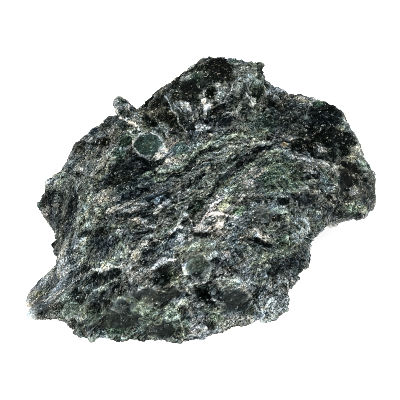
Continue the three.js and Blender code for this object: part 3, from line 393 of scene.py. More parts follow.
# Veins and rims: strength (above 0 pale, below 0 dark), half width (mm), warmth, green, path on the
# sight plane (s, t).
VEINS = [
    (0.3, 0.9, 0.1, 0.2, [
        (-61, 28), (-66, 19), (-72, 11), (-76, 3), (-79, -5), (-81, -19), (-81, -33), (-83, -45)]),
    (0.15, 0.6, 0.1, 0, [(-94, 14), (-97, -1), (-94, -16), (-96, -33), (-99, -46)]),
    (0.2, 0.6, 0, 0.1, [(-87, 9), (-86, -1), (-89, -12), (-91, -24), (-93, -36)]),
    (0.3, 0.9, 0, 0.1, [(-73, -4), (-74, -16), (-77, -29), (-78, -40)]),
    (0.8, 0.8, 0.05, 0.05, [(-44, 33), (-46, 39), (-42, 46), (-36, 49), (-29, 46), (-24, 41), (-22, 35)]),
    (0.9, 0.9, 0.05, 0, [(-22, 35), (-26, 31), (-31, 31), (-36, 29), (-41, 31), (-44, 35)]),
    (0.5, 0.9, 0.1, 0.3, [(-50, 51), (-46, 44), (-41, 49), (-34, 51)]),
    (0.5, 1.1, 0, 0.3, [
        (-33, 18), (-24, 19), (-13, 23), (-4, 30), (4, 37), (16, 43), (30, 46), (43, 45)]),
    (0.35, 0.6, 0, 0.1, [(5, 29), (19, 36), (34, 39), (46, 41), (56, 39)]),
    (0.25, 0.6, 0.1, 0.3, [(20, 12), (29, 19), (40, 27), (50, 32), (61, 34)]),
    (0.2, 0.6, 0.1, 0.2, [(27, 16), (37, 24), (47, 29), (59, 30)]),
    (0.35, 0.6, 0.05, 0, [(66, 31), (76, 29), (86, 26), (96, 24), (100, 16), (101, 8)]),
    (0.45, 0.6, 0.15, -0.1, [(66, 42), (71, 44), (76, 44), (81, 40), (85, 36), (91, 34)]),
    (0.5, 0.5, 0, 0, [(53, 65), (60, 61), (69, 58), (76, 54)]),
    (0.6, 0.6, 0, 0, [(73, 72), (79, 70), (84, 71)]),
    (0.5, 0.5, 0, 0.1, [(76, 57), (79, 64), (81, 69)]),
    (0.5, 0.5, 0, 0, [(89, 59), (92, 56), (94, 51)]),
    (0.8, 0.8, 0, 0, [(-23, 73), (-19, 66), (-16, 60), (-12, 54), (-8, 48)]),
    (0.7, 0.6, 0, 0, [(-17, 69), (-14, 65), (-11, 61)]),
    (0.6, 0.7, 0, 0, [(29, 87), (24, 80), (21, 74), (17, 69), (11, 65), (4, 60), (-1, 56)]),
    (0.6, 0.6, 0, 0, [(1, 80), (5, 78), (4, 72)]),
    (0.5, 0.6, 0, 0, [(4, 81), (9, 83), (14, 79), (15, 75)]),
    (0.75, 0.9, 0.1, 0, [(-58, 64), (-56, 59), (-51, 56), (-45, 53), (-41, 49)]),
    (0.5, 0.5, 0, 0.1, [(-31, 61), (-29, 55), (-24, 50), (-21, 45)]),
    (0.45, 0.5, 0, 0.1, [(-21, 49), (-16, 44), (-10, 41)]),
    (0.75, 0.9, 0.1, 0.1, [(-76, -51), (-66, -49), (-57, -47)]),
    (0.6, 0.6, 0, 0.2, [(-77, -65), (-68, -63), (-61, -59), (-56, -57)]),
    (0.15, 0.5, 0.1, 0.2, [(-67, -81), (-60, -81), (-52, -82), (-43, -81)]),
    (0.6, 0.6, 0.1, 0.3, [(-68, -72), (-61, -72), (-53, -71), (-46, -74), (-41, -77), (-39, -82)]),
    (0.5, 0.6, 0.1, 0.3, [(-56, -70), (-47, -71), (-39, -75), (-29, -78), (-21, -76)]),
    (0.5, 0.6, 0, 0.1, [(-50, -65), (-41, -63), (-31, -64), (-23, -66)]),
    (0.6, 0.8, -0.2, 0.3, [(-72, -94), (-66, -98), (-55, -99), (-46, -97), (-40, -92), (-34, -88)]),
    (0.6, 0.7, 0.1, 0.3, [(-41, -85), (-33, -88), (-23, -87), (-14, -86)]),
    (0.55, 0.7, 0.1, 0.3, [(-12, -72), (-16, -80), (-12, -87), (-10, -98)]),
    (0.5, 0.6, 0.1, 0.3, [(-39, -76), (-34, -83), (-29, -79), (-23, -76), (-17, -74)]),
    (0.5, 0.6, 0.1, 0.3, [(-21, -77), (-24, -82), (-21, -86), (-14, -85), (-12, -79)]),
    (0.5, 0.8, 0, 0.15, [(-9, -40), (-11, -46), (-9, -55), (-4, -62)]),
    (0.5, 0.7, 0, 0.1, [(-6, -41), (1, -39), (7, -42), (10, -49)]),
    (0.55, 0.9, -0.1, 0.1, [(-6, -64), (0, -60), (6, -59), (13, -57), (21, -56), (30, -59), (39, -59)]),
    (0.5, 0.7, -0.1, 0.1, [(5, -59), (9, -52), (11, -45)]),
    (0.35, 0.9, 0.2, 0.3, [(39, -46), (49, -42), (59, -38), (69, -34)]),
    (0.5, 0.5, 0, 0.1, [(56, -48), (61, -43), (69, -41)]),
    (0.4, 0.6, 0, 0, [(31, -45), (29, -52), (31, -59), (34, -65)]),
    (0.5, 0.8, -0.1, 0.1, [(46, -84), (48, -76), (54, -71), (59, -66)]),
    (0.4, 0.7, -0.1, 0.1, [(37, -85), (41, -76), (44, -69)]),
    (0.35, 0.6, 0, 0.1, [(39, -69), (40, -76), (39, -84)]),
    (0.6, 0.7, 0, 0, [(-57, -11), (-50, -6), (-44, -4), (-37, -3)]),
    (0.5, 0.6, 0, -0.1, [(-44, -14), (-40, -16), (-37, -19), (-31, -21), (-26, -19), (-19, -16)]),
    (0.8, 0.6, 0, 0, [(-50, -14), (-44, -16), (-39, -19)]),
    (0.6, 0.6, 0, 0, [(-40, -26), (-33, -24), (-25, -19)]),
    (0.7, 0.6, 0, 0, [(-39, -34), (-34, -30), (-29, -29), (-25, -31)]),
    (0.85, 0.9, 0, 0, [(-21, -25), (-16, -21), (-13, -16)]),
    (0.45, 0.7, 0, -0.15, [(-12, -29), (-9, -27), (-5, -26), (1, -22), (7, -19)]),
    (0.6, 0.6, 0, 0, [(-7, -12), (-4, -18), (1, -22)]),
    (0.35, 0.9, 0, 0.25, [(-61, -18), (-57, -26), (-54, -35), (-50, -42)]),
    (0.35, 0.6, 0, 0.25, [(-67, -18), (-60, -19), (-53, -19), (-44, -19)]),
    (0.3, 0.6, 0, 0, [(-52, -55), (-50, -49), (-46, -44)]),
    (0.5, 0.6, 0.1, 0.2, [(-71, -45), (-63, -44), (-54, -40)]),
    (0.8, 0.9, 0.1, -0.1, [(-33, -51), (-29, -46), (-22, -43), (-16, -43)]),
    (0.55, 0.5, 0.1, 0, [(79, 8), (87, 3), (94, -3), (103, -10)]),
    (0.5, 0.5, 0.1, 0, [(89, 6), (97, 2), (107, -4), (116, -5)]),
    (0.4, 0.5, 0.1, 0, [(67, 5), (77, 5), (87, 2), (99, -4)]),
    (0.35, 0.6, 0.1, 0.2, [(86, -18), (99, -16), (110, -12), (119, -7)]),
    (0.35, 0.5, 0, 0, [(81, -6), (91, -5), (101, -5)]),
    (0.35, 0.5, 0, 0.1, [(61, -4), (71, -6), (80, -5)]),
    (0.6, 0.8, -0.3, 0.1, [(67, -16), (71, -14), (76, -15), (79, -21)]),
    (0.7, 0.9, 0, -0.2, [(1, -18), (6, -11), (11, -3), (17, 1)]),
    (0.8, 0.8, 0, -0.2, [(7, -12), (11, -11), (17, -11), (27, -13)]),
    (0.4, 0.6, 0, 0.2, [(-20, -6), (-6, 1), (7, 9), (19, 18)]),
    (0.35, 0.5, 0, 0.1, [(-13, 5), (1, 14), (13, 22)]),
    (0.35, 0.5, 0, 0.2, [(-6, 19), (9, 28), (27, 34), (41, 39)]),
    (0.35, 0.5, 0, 0.1, [(-9, 12), (4, 19), (17, 28)]),
    (0.35, 0.5, 0, 0.1, [(-1, 6), (10, 14), (23, 22)]),
    (-0.5, 0.7, 0, 0, [(-27, 12), (-13, 17), (1, 24), (14, 31)]),
    (-0.5, 0.7, -0.2, 0, [(-34, -1), (-19, 4), (-6, 9), (4, 16)]),
    (-0.5, 0.7, 0, 0.1, [(-9, -8), (3, -1), (13, 8)]),
    (0.4, 0.6, 0, 0.2, [(-54, 5), (-43, 9), (-33, 12), (-21, 16), (-11, 21)]),
    (0.4, 0.5, 0, 0, [(-14, 15), (-13, 6), (-15, -4), (-14, -14)]),
    (0.3, 0.6, 0, 0.1, [(-74, 35), (-67, 29), (-61, 35), (-57, 41)]),
    (0.3, 0.6, 0, 0, [(-84, 22), (-79, 16), (-73, 19)]),
    (0.5, 0.5, 0, 0, [(34, 76), (39, 71), (40, 65)]),
    (0.35, 0.6, 0, 0.1, [(33, 98), (36, 88), (37, 78)]),
    (0.4, 0.6, 0, 0.2, [(46, 91), (47, 81), (50, 74)]),
    (-0.6, 0.8, 0, 0, [(36, -28), (43, -31), (50, -36)]),
    (0.35, 0.6, 0, 0.3, [(50, -9), (56, -6), (63, -9), (64, -15)]),
    (0.4, 0.6, 0, 0, [(14, -38), (19, -44), (23, -49), (29, -56)]),
    (0.4, 0.6, 0, 0, [(27, -38), (31, -44), (30, -52)]),
    (0.4, 0.6, -0.1, 0, [(-94, -51), (-86, -49), (-79, -54), (-76, -61)]),
    (0.4, 0.6, 0, 0.3, [(-94, -69), (-89, -74), (-81, -75), (-74, -72)]),
    (0.4, 0.6, 0, 0.3, [(-90, -81), (-83, -81), (-77, -85)]),
    (0.4, 0.6, 0, 0.2, [(59, 4), (56, 9), (59, 16), (66, 19)]),
    (0.35, 0.6, 0, 0.3, [(51, 6), (61, 5), (70, 6)]),
    (0.4, 0.6, 0, 0, [(113, 26), (117, 21), (119, 14)]),
]

# ---------- the skin's grid ----------

STRETCH = np.array([1.5, 1.15, 0.85])  # the cube that carries the grid, so that cells come out even
CELLS = np.array([240, 198, 118])  # cells along its u, v and w edges

# Finer breakage than the solid has: chips inside the facets, flakes in the chips, scales in the flakes.
CHIPS = dict(count=1300, across=2.2, tilt=0.3, limit=1.3, strength=0.85, reach=40)
FLAKES = dict(count=9000, across=2.6, tilt=0.6, limit=0.5, strength=0.85, reach=16)
SCALES = dict(count=30000, across=2.2, tilt=0.9, limit=0.3, strength=0.9, reach=9)
VEIN_RISE = 0.7
SAW_SPACING = 3.1  # between the saw-tooth edges of the layers
SAW_RISE = 0.5
GRIT = 0.06  # scatter of single points
CALM_LOSS = 0.75  # share of the fine breakage that a wholly calm place loses
FIBRE_FOOT, FIBRE_TOP = -72, 38  # the v between which the layers show their fibres
HOLLOW_ROUNDS, DEEP_ROUNDS = 10, 60  # rounds of averaging that find the small and the large hollows


# ---------- helpers ----------

def to_boulder(points):
    """Face frame to boulder frame: turned about X by the lean, then set on the floor, still in mm."""
    u, v, w = points.T
    y = v * math.sin(LEAN) - w * math.cos(LEAN)
    z = v * math.cos(LEAN) + w * math.sin(LEAN) + HEART_HEIGHT
    return np.stack([u, y, z], 1) - BASE_MIDDLE


def to_face(points):
    """Boulder x, y, z, measured from u = v = w = 0 and up from the floor, to face frame u, v, w."""
    x, y, z = np.asarray(points, float).T
    up = z - HEART_HEIGHT
    v = y * math.sin(LEAN) + up * math.cos(LEAN)
    w = -y * math.cos(LEAN) + up * math.sin(LEAN)
    return np.stack([x, v, w], 1)


def unit(vectors):
    """Each vector divided by its length."""
    return vectors / np.linalg.norm(vectors, axis=-1, keepdims=True)


def dots(a, b):
    """Dot product, row by row."""
    return (a * b).sum(-1)


def smooth(t):
    """0 below 0, 1 above 1, and 3t^2 - 2t^3 between."""
    t = np.clip(t, 0, 1)
    return t * t * (3 - 2 * t)


def scatter(n, seed):
    """The n-th number of an even scatter between 0 and 1, one series for each seed."""
    value = (n + 1) * (0.6180339887 + 0.1370001 * seed) + 0.31 * seed
    return value - np.floor(value)


def field_through(sites, values, softness):
    """A plane plus one cone sqrt(distance^2 + softness^2) at each site, through values[i] at sites[i]."""
    def terms(points):
        squared = (points ** 2).sum(1)[:, None] + (sites ** 2).sum(1) - 2 * points @ sites.T
        cones = np.sqrt(np.maximum(squared, 0) + softness ** 2)
        return np.hstack([cones, np.ones((len(points), 1)), points])
    rows = terms(sites)
    corner = np.vstack([rows, np.hstack([rows[:, len(sites):].T, np.zeros((4, 4))])])
    weights = np.linalg.solve(corner, np.append(values, np.zeros(4)))
    return lambda points: terms(points) @ weights


# ---------- the shape, from the inside out: each skin is a radius for each direction ----------

def skin_points(radius, directions):
    """The heart plus each direction times its radius."""
    return directions * radius(directions)[:, None] + HEART


def skin_normals(radius, directions, step):
    """Outward normal: the cross product of two chords of the skin, each two steps long."""
    side = np.cross([0, 1, 0], directions)
    side[np.linalg.norm(side, axis=1) < 0.1] = [1, 0, 0]
    side = unit(side)
    rise = np.cross(directions, side)
    ahead = [skin_points(radius, unit(directions + axis * step)) for axis in (side, rise)]
    behind = [skin_points(radius, unit(directions - axis * step)) for axis in (side, rise)]
    return unit(np.cross(ahead[0] - behind[0], ahead[1] - behind[1]))


def core_radius():
    """The smooth skin through the shape points."""
    points = np.vstack([OUTLINE, FACE, to_face(BACK), to_face(UNDERSIDE)]).astype(float)
    reaches = points - HEART
    lengths = np.linalg.norm(reaches, axis=1)
    return field_through(reaches / lengths[:, None], lengths, ROUNDING)


def layer_field():
    """Height in the layering, in mm, for any point of the rock."""
    sites = np.array([point for _, line in LAYERS for point in line], float)
    heights = [height for height, line in LAYERS for _ in line]
    return field_through(sites, heights, softness=6)


def local_frame(radius, at, turn):
    """Middle, normal, length axis and width axis of a small ellipse that lies on the skin."""
    direction = unit(np.array([at], float) - HEART)
    normal = skin_normals(radius, direction, step=0.06)[0]
    level = unit(np.array([1.0, 0, 0]) - normal * normal[0])
    turn = math.radians(turn)
    length = level * math.cos(turn) + np.cross(normal, level) * math.sin(turn)
    return skin_points(radius, direction)[0], normal, length, np.cross(normal, length)


def ellipse_distance(ellipse, half, points):
    """Distance from the middle of an ellipse on the skin, 1 at its edge."""
    middle, normal, length, width = ellipse
    away = points - middle
    squared = (away @ length / half[0]) ** 2 + (away @ width / half[1]) ** 2
    return np.sqrt(squared + (away @ normal / (half[0] + half[1])) ** 2)


def with_lumps(radius):
    """Adds rise * exp(-distance^2) for each lump."""
    ellipses = [local_frame(radius, lump["at"], lump["turn"]) for lump in LUMPS]

    def lumpy(directions):
        bare = radius(directions)
        points = directions * bare[:, None] + HEART
        grown = bare.copy()
        for lump, ellipse in zip(LUMPS, ellipses):
            grown += lump["rise"] * np.exp(-ellipse_distance(ellipse, lump["half"], points) ** 2)
        return grown
    return lumpy


def beside_path(path, points):
    """Distance to the nearest place on a path, the side it is on, and how far along, from 0 to 1."""
    gaps, sides, alongs = [], [], []
    for i in range(len(path) - 1):
        run = path[i + 1] - path[i]
        part = np.clip((points - path[i]) @ run / (run @ run), 0, 1)
        foot = path[i] + part[:, None] * run
        gaps.append(np.linalg.norm(points - foot, axis=1))
        sides.append(np.sign(dots(points - foot, np.cross(foot - HEART, run))))
        alongs.append((i + part) / (len(path) - 1))
    nearest = np.argmin(gaps, 0)
    pick = np.arange(len(points))
    return np.array(gaps)[nearest, pick], np.array(sides)[nearest, pick], np.array(alongs)[nearest, pick]


def with_ledges(radius):
    """Adds a step at each path that dies away over the reach, and towards the path's ends."""
    def ledged(directions):
        bare = radius(directions)
        points = directions * bare[:, None] + HEART
        stepped = bare.copy()
        for ledge in LEDGES:
            gap, side, along = beside_path(np.array(ledge["path"], float), points)
            raised = np.exp(-gap / ledge["reach"])
            sunk = -0.3 * np.exp(-3 * gap / ledge["reach"])
            stepped += ledge["rise"] * np.sqrt(np.sin(math.pi * along)) * np.where(side > 0, raised, sunk)
        return stepped
    return ledged


def plane_radius(directions, middle, normal, bare, limit):
    """Radius at which each direction meets a plane, kept within limit of the bare radius."""
    facing = np.maximum(0.2, dots(directions, normal))
    meet = dots(middle - HEART, normal) / facing
    return bare + np.clip(meet - bare, -limit, limit)


def nearest_cell(points, middles, reach=math.inf):
    """For each point the number of its nearest middle. The points go in blocks that lie close together,
    and each block looks only at the middles within reach of its box."""
    points, middles = points.astype(np.float32), middles.astype(np.float32)
    nearest = []
    for block in np.array_split(points, max(1, len(points) // 1500)):
        near = ((middles > block.min(0) - reach) & (middles < block.max(0) + reach)).all(1).nonzero()[0]
        squared = (middles[near] ** 2).sum(1) - 2 * block @ middles[near].T
        nearest.append(near[squared.argmin(1)])
    return np.concatenate(nearest)


def with_facets(radius, layer_height):
    """Lays flat facets over the skin: each point takes the plane of its nearest facet's middle."""
    i = np.arange(FACET_COUNT)
    level = 1 - 2 * (i + 0.5) / FACET_COUNT
    turn = 2.39996 * i + 0.9 * scatter(i, 1)
    ring = np.sqrt(1 - level ** 2)
    facing = np.stack([ring * np.cos(turn), ring * np.sin(turn), level], 1)
    middles = skin_points(radius, facing)
    stray = np.stack([scatter(i, 2), scatter(i, 3), scatter(i, 4)], 1) - 0.5
    normals = unit(skin_normals(radius, facing, step=0.08) + stray * 2 * FACET_TILT)

    def with_layer(points):
        return np.hstack([points, FACET_ACROSS * layer_height(points)[:, None]])

    def faceted(directions):
        bare = radius(directions)
        points = directions * bare[:, None] + HEART
        nearest = nearest_cell(with_layer(points), with_layer(middles))
        flat = plane_radius(directions, middles[nearest], normals[nearest], bare, FACET_LIMIT)
        return bare + FACET_STRENGTH * (flat - bare)
    return faceted


def with_plates(radius, ellipses):
    """Presses each flat cleavage plate into the skin, fading out just past its edge."""
    def plated(directions):
        pressed = radius(directions)
        points = directions * pressed[:, None] + HEART
        for plate, ellipse in zip(PLATES, ellipses):
            middle, normal = ellipse[:2]
            cover = smooth((1.15 - ellipse_distance(ellipse, plate["half"], points)) / 0.35)
            flat = plane_radius(directions, middle, normal, pressed, plate["half"][1] / 2) + plate["rise"]
            pressed = pressed + cover * (flat - pressed)
        return pressed
    return plated


def with_terraces(radius, layer_height):
    """Weathers the layers into terraces: a slow rise across each spacing, then a quick drop."""
    def terraced(directions):
        bare = radius(directions)
        layer = layer_height(directions * bare[:, None] + HEART) / TERRACE_SPACING
        part = layer - np.floor(layer)
        tread = np.where(part < 0.75, part / 0.75, (1 - part) / 0.25)
        return bare + TERRACE_RISE * (tread - 0.5)
    return terraced


def grid_on_cube():
    """Directions and quads of a closed grid on the six faces of a stretched cube, edges welded, and for
    each quad whether it lies on one of the three upper faces."""
    places, quads, upper, start = [], [], [], 0
    for axis in range(3):
        for sign in (-1, 1):
            right, up = (axis + 1) % 3, (axis + 2) % 3
            if sign < 0:
                right, up = up, right
            parts = [np.arange(CELLS[k] + 1) / CELLS[k] - 0.5 for k in (right, up)]
            a, b = np.meshgrid(*[np.tan(part * math.pi / 2) for part in parts])
            face = np.zeros(a.shape + (3,))
            face[..., axis] = sign
            face[..., right] = a
            face[..., up] = b
            places.append(face.reshape(-1, 3))
            index = start + np.arange(a.size).reshape(a.shape)
            around = [index[:-1, :-1], index[:-1, 1:], index[1:, 1:], index[1:, :-1]]
            quads.append(np.stack(around, -1).reshape(-1, 4))
            upper.append(np.full(len(quads[-1]), sign > 0))
            start += a.size
    places, quads = np.vstack(places), np.vstack(quads)
    _, keep, weld = np.unique(np.round(places, 6), axis=0, return_index=True, return_inverse=True)
    return unit(places[keep] * STRETCH), weld.ravel()[quads], np.concatenate(upper)


def vertex_normals(points, quads):
    """Area-weighted normals: the cross product of each quad's diagonals, summed at its corners."""
    cross = np.cross(points[quads[:, 2]] - points[quads[:, 0]], points[quads[:, 3]] - points[quads[:, 1]])
    summed = [np.bincount(quads.ravel(), np.repeat(cross[:, k], 4), len(points)) for k in range(3)]
    return unit(np.stack(summed, 1) + 1e-12)


def smoothed(values, quads, rounds):
    """Averages each vertex with the four corners of its quads, a number of times."""
    count = np.bincount(quads.ravel(), minlength=len(values))
    for _ in range(rounds):
        middle = values[quads].mean(1)
        values = np.stack([
            np.bincount(quads.ravel(), np.repeat(middle[:, k], 4), len(values)) / count
            for k in range(values.shape[1])
        ], 1)
    return values


def break_up(points, normals, layer, chips, rough, seed):
    """Breaks the skin into tilted chips: each vertex moves along its normal to its chip's plane.
    Gives the moved points and each vertex's chip number."""
    rng = np.random.default_rng(seed)
    pick = rng.choice(len(points), chips["count"], replace=False)
    spread = np.hstack([points, chips["across"] * layer[:, None]])
    nearest = nearest_cell(spread, spread[pick], chips["reach"])
    middles = points[pick]
    facing = unit(normals[pick] + rng.normal(0, chips["tilt"] / 1.7, (len(pick), 3)))
    facing = facing[nearest]
    reach = dots(middles[nearest] - points, facing) / np.maximum(0.3, dots(normals, facing))
    move = chips["strength"] * np.clip(reach, -chips["limit"], chips["limit"])
    return points + normals * (rough * move)[:, None], nearest


def waves(points, size, seed, count=24):
    """Smooth noise of unit variance: sine waves of about the given wavelength in random directions."""
    rng = np.random.default_rng(seed)
    pulls = unit(rng.normal(size=(count, points.shape[1])))
    pulls *= 2 * math.pi / (size * rng.uniform(0.7, 1.5, (count, 1)))
    return np.sin(points @ pulls.T + rng.uniform(0, 2 * math.pi, count)).sum(1) * math.sqrt(2 / count)


def sight_plane(points):
    """Along and up on the sight plane: u and v drawn out from the eye to the plane w = 0."""
    return points[:, :2] * (SIGHT_DISTANCE / (SIGHT_DISTANCE - points[:, 2:]))


def marked(points, facing, marks, soft, ground, lines, calm):
    """Lays the marks over a ground of tone, warmth and green, each fading out over a wavering edge. A
    mark with a pale rim is a smooth plate, so it also calms the skin. Lines holds, for each point, the
    distance to the nearest vein in half widths, its sign by the side, and that vein's strength."""
    place = sight_plane(points)
    waver = 0.1 * waves(points, 6, 46) + 0.13 * waves(points, 15, 55)
    for mark in marks:
        s, t, length, width, turn, tone, warmth, green, paleness = (*mark, 0, 0, 0)[:9]
        turn = math.radians(turn)
        a = (place[:, 0] - s) * math.cos(turn) + (place[:, 1] - t) * math.sin(turn)
        b = (place[:, 1] - t) * math.cos(turn) - (place[:, 0] - s) * math.sin(turn)
        away = np.sqrt((a / length) ** 2 + (b / width) ** 2) * (1 + waver)
        cover = (smooth((1 + soft / 2 - away) / soft) * facing)[:, None]
        ground = ground + cover * (np.array([tone, warmth, green]) - ground)
        if paleness:
            calm[:] = np.maximum(calm, cover[:, 0] * (0.72 + 0.3 * paleness))
            nearer(lines, (away - 1.05) * min(length, width) / 0.6, paleness, facing)
    return ground


def nearer(lines, side, strength, facing):
    """Takes a vein's signed distance and strength wherever it is the nearest so far."""
    closer = (np.abs(side) < np.abs(lines[0])) & (facing > 0.4)
    lines[0][closer] = side[closer]
    lines[1][closer] = strength


def veined(points, facing, ground, lines):
    """Draws the veins: the signed distance to each path, wavering, and the hues beside it."""
    place = sight_plane(points)
    place = place + 0.7 * np.stack([waves(points, 9, 61), waves(points, 9, 62)], 1)
    for strength, width, warmth, green, path in VEINS:
        path = np.array(path, float)
        side = np.full(len(points), 99.0)
        for start, end in zip(path[:-1], path[1:]):
            run = end - start
            part = np.clip((place - start) @ run / (run @ run), 0, 1)
            away = place - start - part[:, None] * run
            left = run[0] * away[:, 1] > run[1] * away[:, 0]
            gap = np.linalg.norm(away, axis=1) * np.where(left, 1, -1)
            side = np.where(np.abs(gap) < np.abs(side), gap, side)
        nearer(lines, side / width, strength, facing)
        cover = (smooth(2 - np.abs(side) / width) * facing)[:, None]
        ground[:, 1:] += cover * (np.array([warmth, green]) - ground[:, 1:])
    return ground


def plates_and_skin():
    """The skin's radius before the fine breakage, the height of the layers, and the plates' ellipses."""
    layer_height = layer_field()
    radius = with_facets(with_ledges(with_lumps(core_radius())), layer_height)
    plates = [local_frame(radius, plate["at"], plate["turn"]) for plate in PLATES]
    return with_terraces(with_plates(radius, plates), layer_height), layer_height, plates


def banded_ground(points, layer, facing):
    """Tone, warmth and green in patches drawn out along the layers: smooth noise in which a step through
    the layers counts for more than three within one. The tone is weaker where the marks take over."""
    banded = np.hstack([0.6 * points, 2.2 * layer[:, None]])
    patchy = 0.24 * waves(banded, 34, 1) + 0.34 * np.tanh(2.5 * waves(banded, 16, 4) - 0.4) + 0.1
    return np.stack(
        [patchy * (1 - 0.75 * facing), 0.13 * waves(banded, 36, 2), 0.13 * waves(banded, 32, 3)], 1)


def dressed_look(points, normals, quads, layer, calm):
    """Tone, warmth and green, and the nearest vein: the marks and veins lie over the ground wherever the
    skin faces the front. Raises calm on the smooth plates among the marks."""
    to_eye = unit(np.array([0, 0, SIGHT_DISTANCE]) - points)
    facing = smooth((dots(smoothed(normals, quads, 6), to_eye) + 0.05) / 0.25)
    look = banded_ground(points, layer, facing)
    lines = [np.full(len(points), 9.0), np.zeros(len(points))]
    for marks, soft in ((BROAD_MARKS, 0.9), (DARK_MARKS, 0.35), (PALE_MARKS, 0.5)):
        look = marked(points, facing, marks, soft, look, lines, calm)
    return veined(points, facing, look, lines), lines


def boulder_surface():
    """The dressed skin: points in the face frame, quads, which of them are on the upper half of the grid,
    and what the material reads. Along the normals it adds raised veins, then chips, flakes, scales, the
    saw teeth of the layers and grit, all of these but the veins weaker where the skin is calm."""
    directions, quads, upper = grid_on_cube()
    radius, layer_height, plates = plates_and_skin()
    points = skin_points(radius, directions)
    layer = layer_height(points)
    normals = vertex_normals(points, quads)

    calm = np.zeros(len(points))
    for plate, ellipse in zip(PLATES, plates):
        away = ellipse_distance(ellipse, plate["half"], points)
        calm = np.maximum(calm, 0.3 * smooth((1.1 - away) / 0.3))
    look, lines = dressed_look(points, normals, quads, layer, calm)
    rough = 1 - CALM_LOSS * calm

    raised = lines[1] * smooth(1.6 - np.abs(lines[0]))
    points = points + normals * (VEIN_RISE * raised)[:, None]
    points, chip = break_up(points, normals, layer, CHIPS, rough, 5)
    points, flake = break_up(points, normals, layer, FLAKES, rough, 6)
    points, _ = break_up(points, vertex_normals(points, quads), layer, SCALES, rough, 9)
    saw = layer / SAW_SPACING + 0.35 * waves(points, 22, 7)
    saw = np.abs(saw - np.floor(saw) - 0.7)
    # The layers show their fibres between the massive foot of the face and its top.
    above_foot, above_top = points[:, 1] - FIBRE_FOOT, points[:, 1] - FIBRE_TOP
    fibrous = smooth(above_foot / 28) * (1 - 0.6 * smooth(above_top / 14))
    points = points + normals * (SAW_RISE * rough * fibrous * (saw - 0.35))[:, None]
    rng = np.random.default_rng(8)
    points = points + normals * (GRIT * rough * rng.normal(size=len(points)))[:, None]

    normals = vertex_normals(points, quads)
    # How far each point lies sunk below its averaged neighbours, over small and large rounds: the
    # material paints shade by these, darker in the hollows.
    hollow_shade = dots(smoothed(points, quads, HOLLOW_ROUNDS) - points, normals)
    deep = dots(smoothed(points, quads, DEEP_ROUNDS) - points, normals)
    chip_tone = rng.uniform(-1, 1, CHIPS["count"])[chip]
    flake_tone = rng.uniform(-1, 1, FLAKES["count"])[flake]
    return points, quads, upper, dict(
        layer=layer, tone=look[:, 0], warmth=look[:, 1], green=look[:, 2],
        vein_side=lines[0], vein_gap=np.abs(lines[0]), vein=lines[1],
        calm=calm, fibrous=fibrous, hollow_shade=hollow_shade, deep=deep, chip_tone=chip_tone, flake_tone=flake_tone)


def standing(points):
    """Boulder frame, with whatever is below the floor cut off: drawn up to z = 0 towards the heart."""
    heart = to_boulder(HEART[None])[0]
    placed = to_boulder(points)
    share = np.minimum(1, heart[2] / np.maximum(heart[2] - placed[:, 2], 1e-6))[:, None]
    placed = heart + (placed - heart) * share
    placed[:, 2] = np.maximum(placed[:, 2], 0)
    return placed


def mesh_piece(name, points, quads, attributes, material):
    """A mesh object from points in mm, quads and one float attribute per named array."""
    mesh = bpy.data.meshes.new(name)
    mesh.vertices.add(len(points))
    mesh.vertices.foreach_set("co", (points * MM).astype(np.float32).ravel())
    mesh.loops.add(quads.size)
    mesh.loops.foreach_set("vertex_index", quads.astype(np.int32).ravel())
    mesh.polygons.add(len(quads))
    mesh.polygons.foreach_set("loop_start", np.arange(0, quads.size, quads.shape[1], dtype=np.int32))
    mesh.update(calc_edges=True)
    for key, values in attributes.items():
        layer = mesh.attributes.new(key, "FLOAT", "POINT")
        layer.data.foreach_set("value", values.astype(np.float32))
    mesh.materials.append(material)
    piece = bpy.data.objects.new(name, mesh)
    bpy.context.scene.collection.objects.link(piece)
    return piece


# ---------- materials ----------

def add(tree, kind, **settings):
    """A new node of a kind, with its settings."""
    node = tree.nodes.new(kind)
    for key, value in settings.items():
        setattr(node, key, value)
    return node


def feed(tree, socket, value):
    """Sets a socket to a plain value, or links another node's output to it."""
    if isinstance(value, bpy.types.NodeSocket):
        tree.links.new(value, socket)
    else:
        socket.default_value = value


def calc(tree, operation, *values, clamp=False):
    """One step of arithmetic on plain values or sockets."""
    node = add(tree, "ShaderNodeMath", operation=operation, use_clamp=clamp)
    for socket, value in zip(node.inputs, values):
        feed(tree, socket, value)
    return node.outputs[0]


def mixture(tree, *terms):
    """Weighted sum: each term is a (value, weight) pair."""
    result = 0.0
    for value, weight in terms:
        result = calc(tree, "MULTIPLY_ADD", value, weight, result)
    return result


def span(tree, value, low, high, to_low=0.0, to_high=1.0):
    """Maps low..high to to_low..to_high, smoothly, and holds beyond."""
    node = add(tree, "ShaderNodeMapRange", interpolation_type="SMOOTHSTEP", clamp=True)
    for name, item in (
        ("Value", value), ("From Min", low), ("From Max", high), ("To Min", to_low), ("To Max", to_high),
    ):
        feed(tree, node.inputs[name], item)
    return node.outputs[0]


def scaled(tree, vector, factor):
    """A vector times a number."""
    node = add(tree, "ShaderNodeVectorMath", operation="SCALE")
    feed(tree, node.inputs[0], vector)
    feed(tree, node.inputs["Scale"], factor)
    return node.outputs[0]


def combined(tree, vector, other, operation="ADD"):
    """Two vectors added, subtracted or multiplied to their dot product."""
    node = add(tree, "ShaderNodeVectorMath", operation=operation)
    feed(tree, node.inputs[0], vector)
    feed(tree, node.inputs[1], other)
    return node.outputs["Value" if operation == "DOT_PRODUCT" else "Vector"]


def attribute(tree, name):
    """Reads one of the skin's own float attributes."""
    return add(tree, "ShaderNodeAttribute", attribute_name=name).outputs["Fac"]


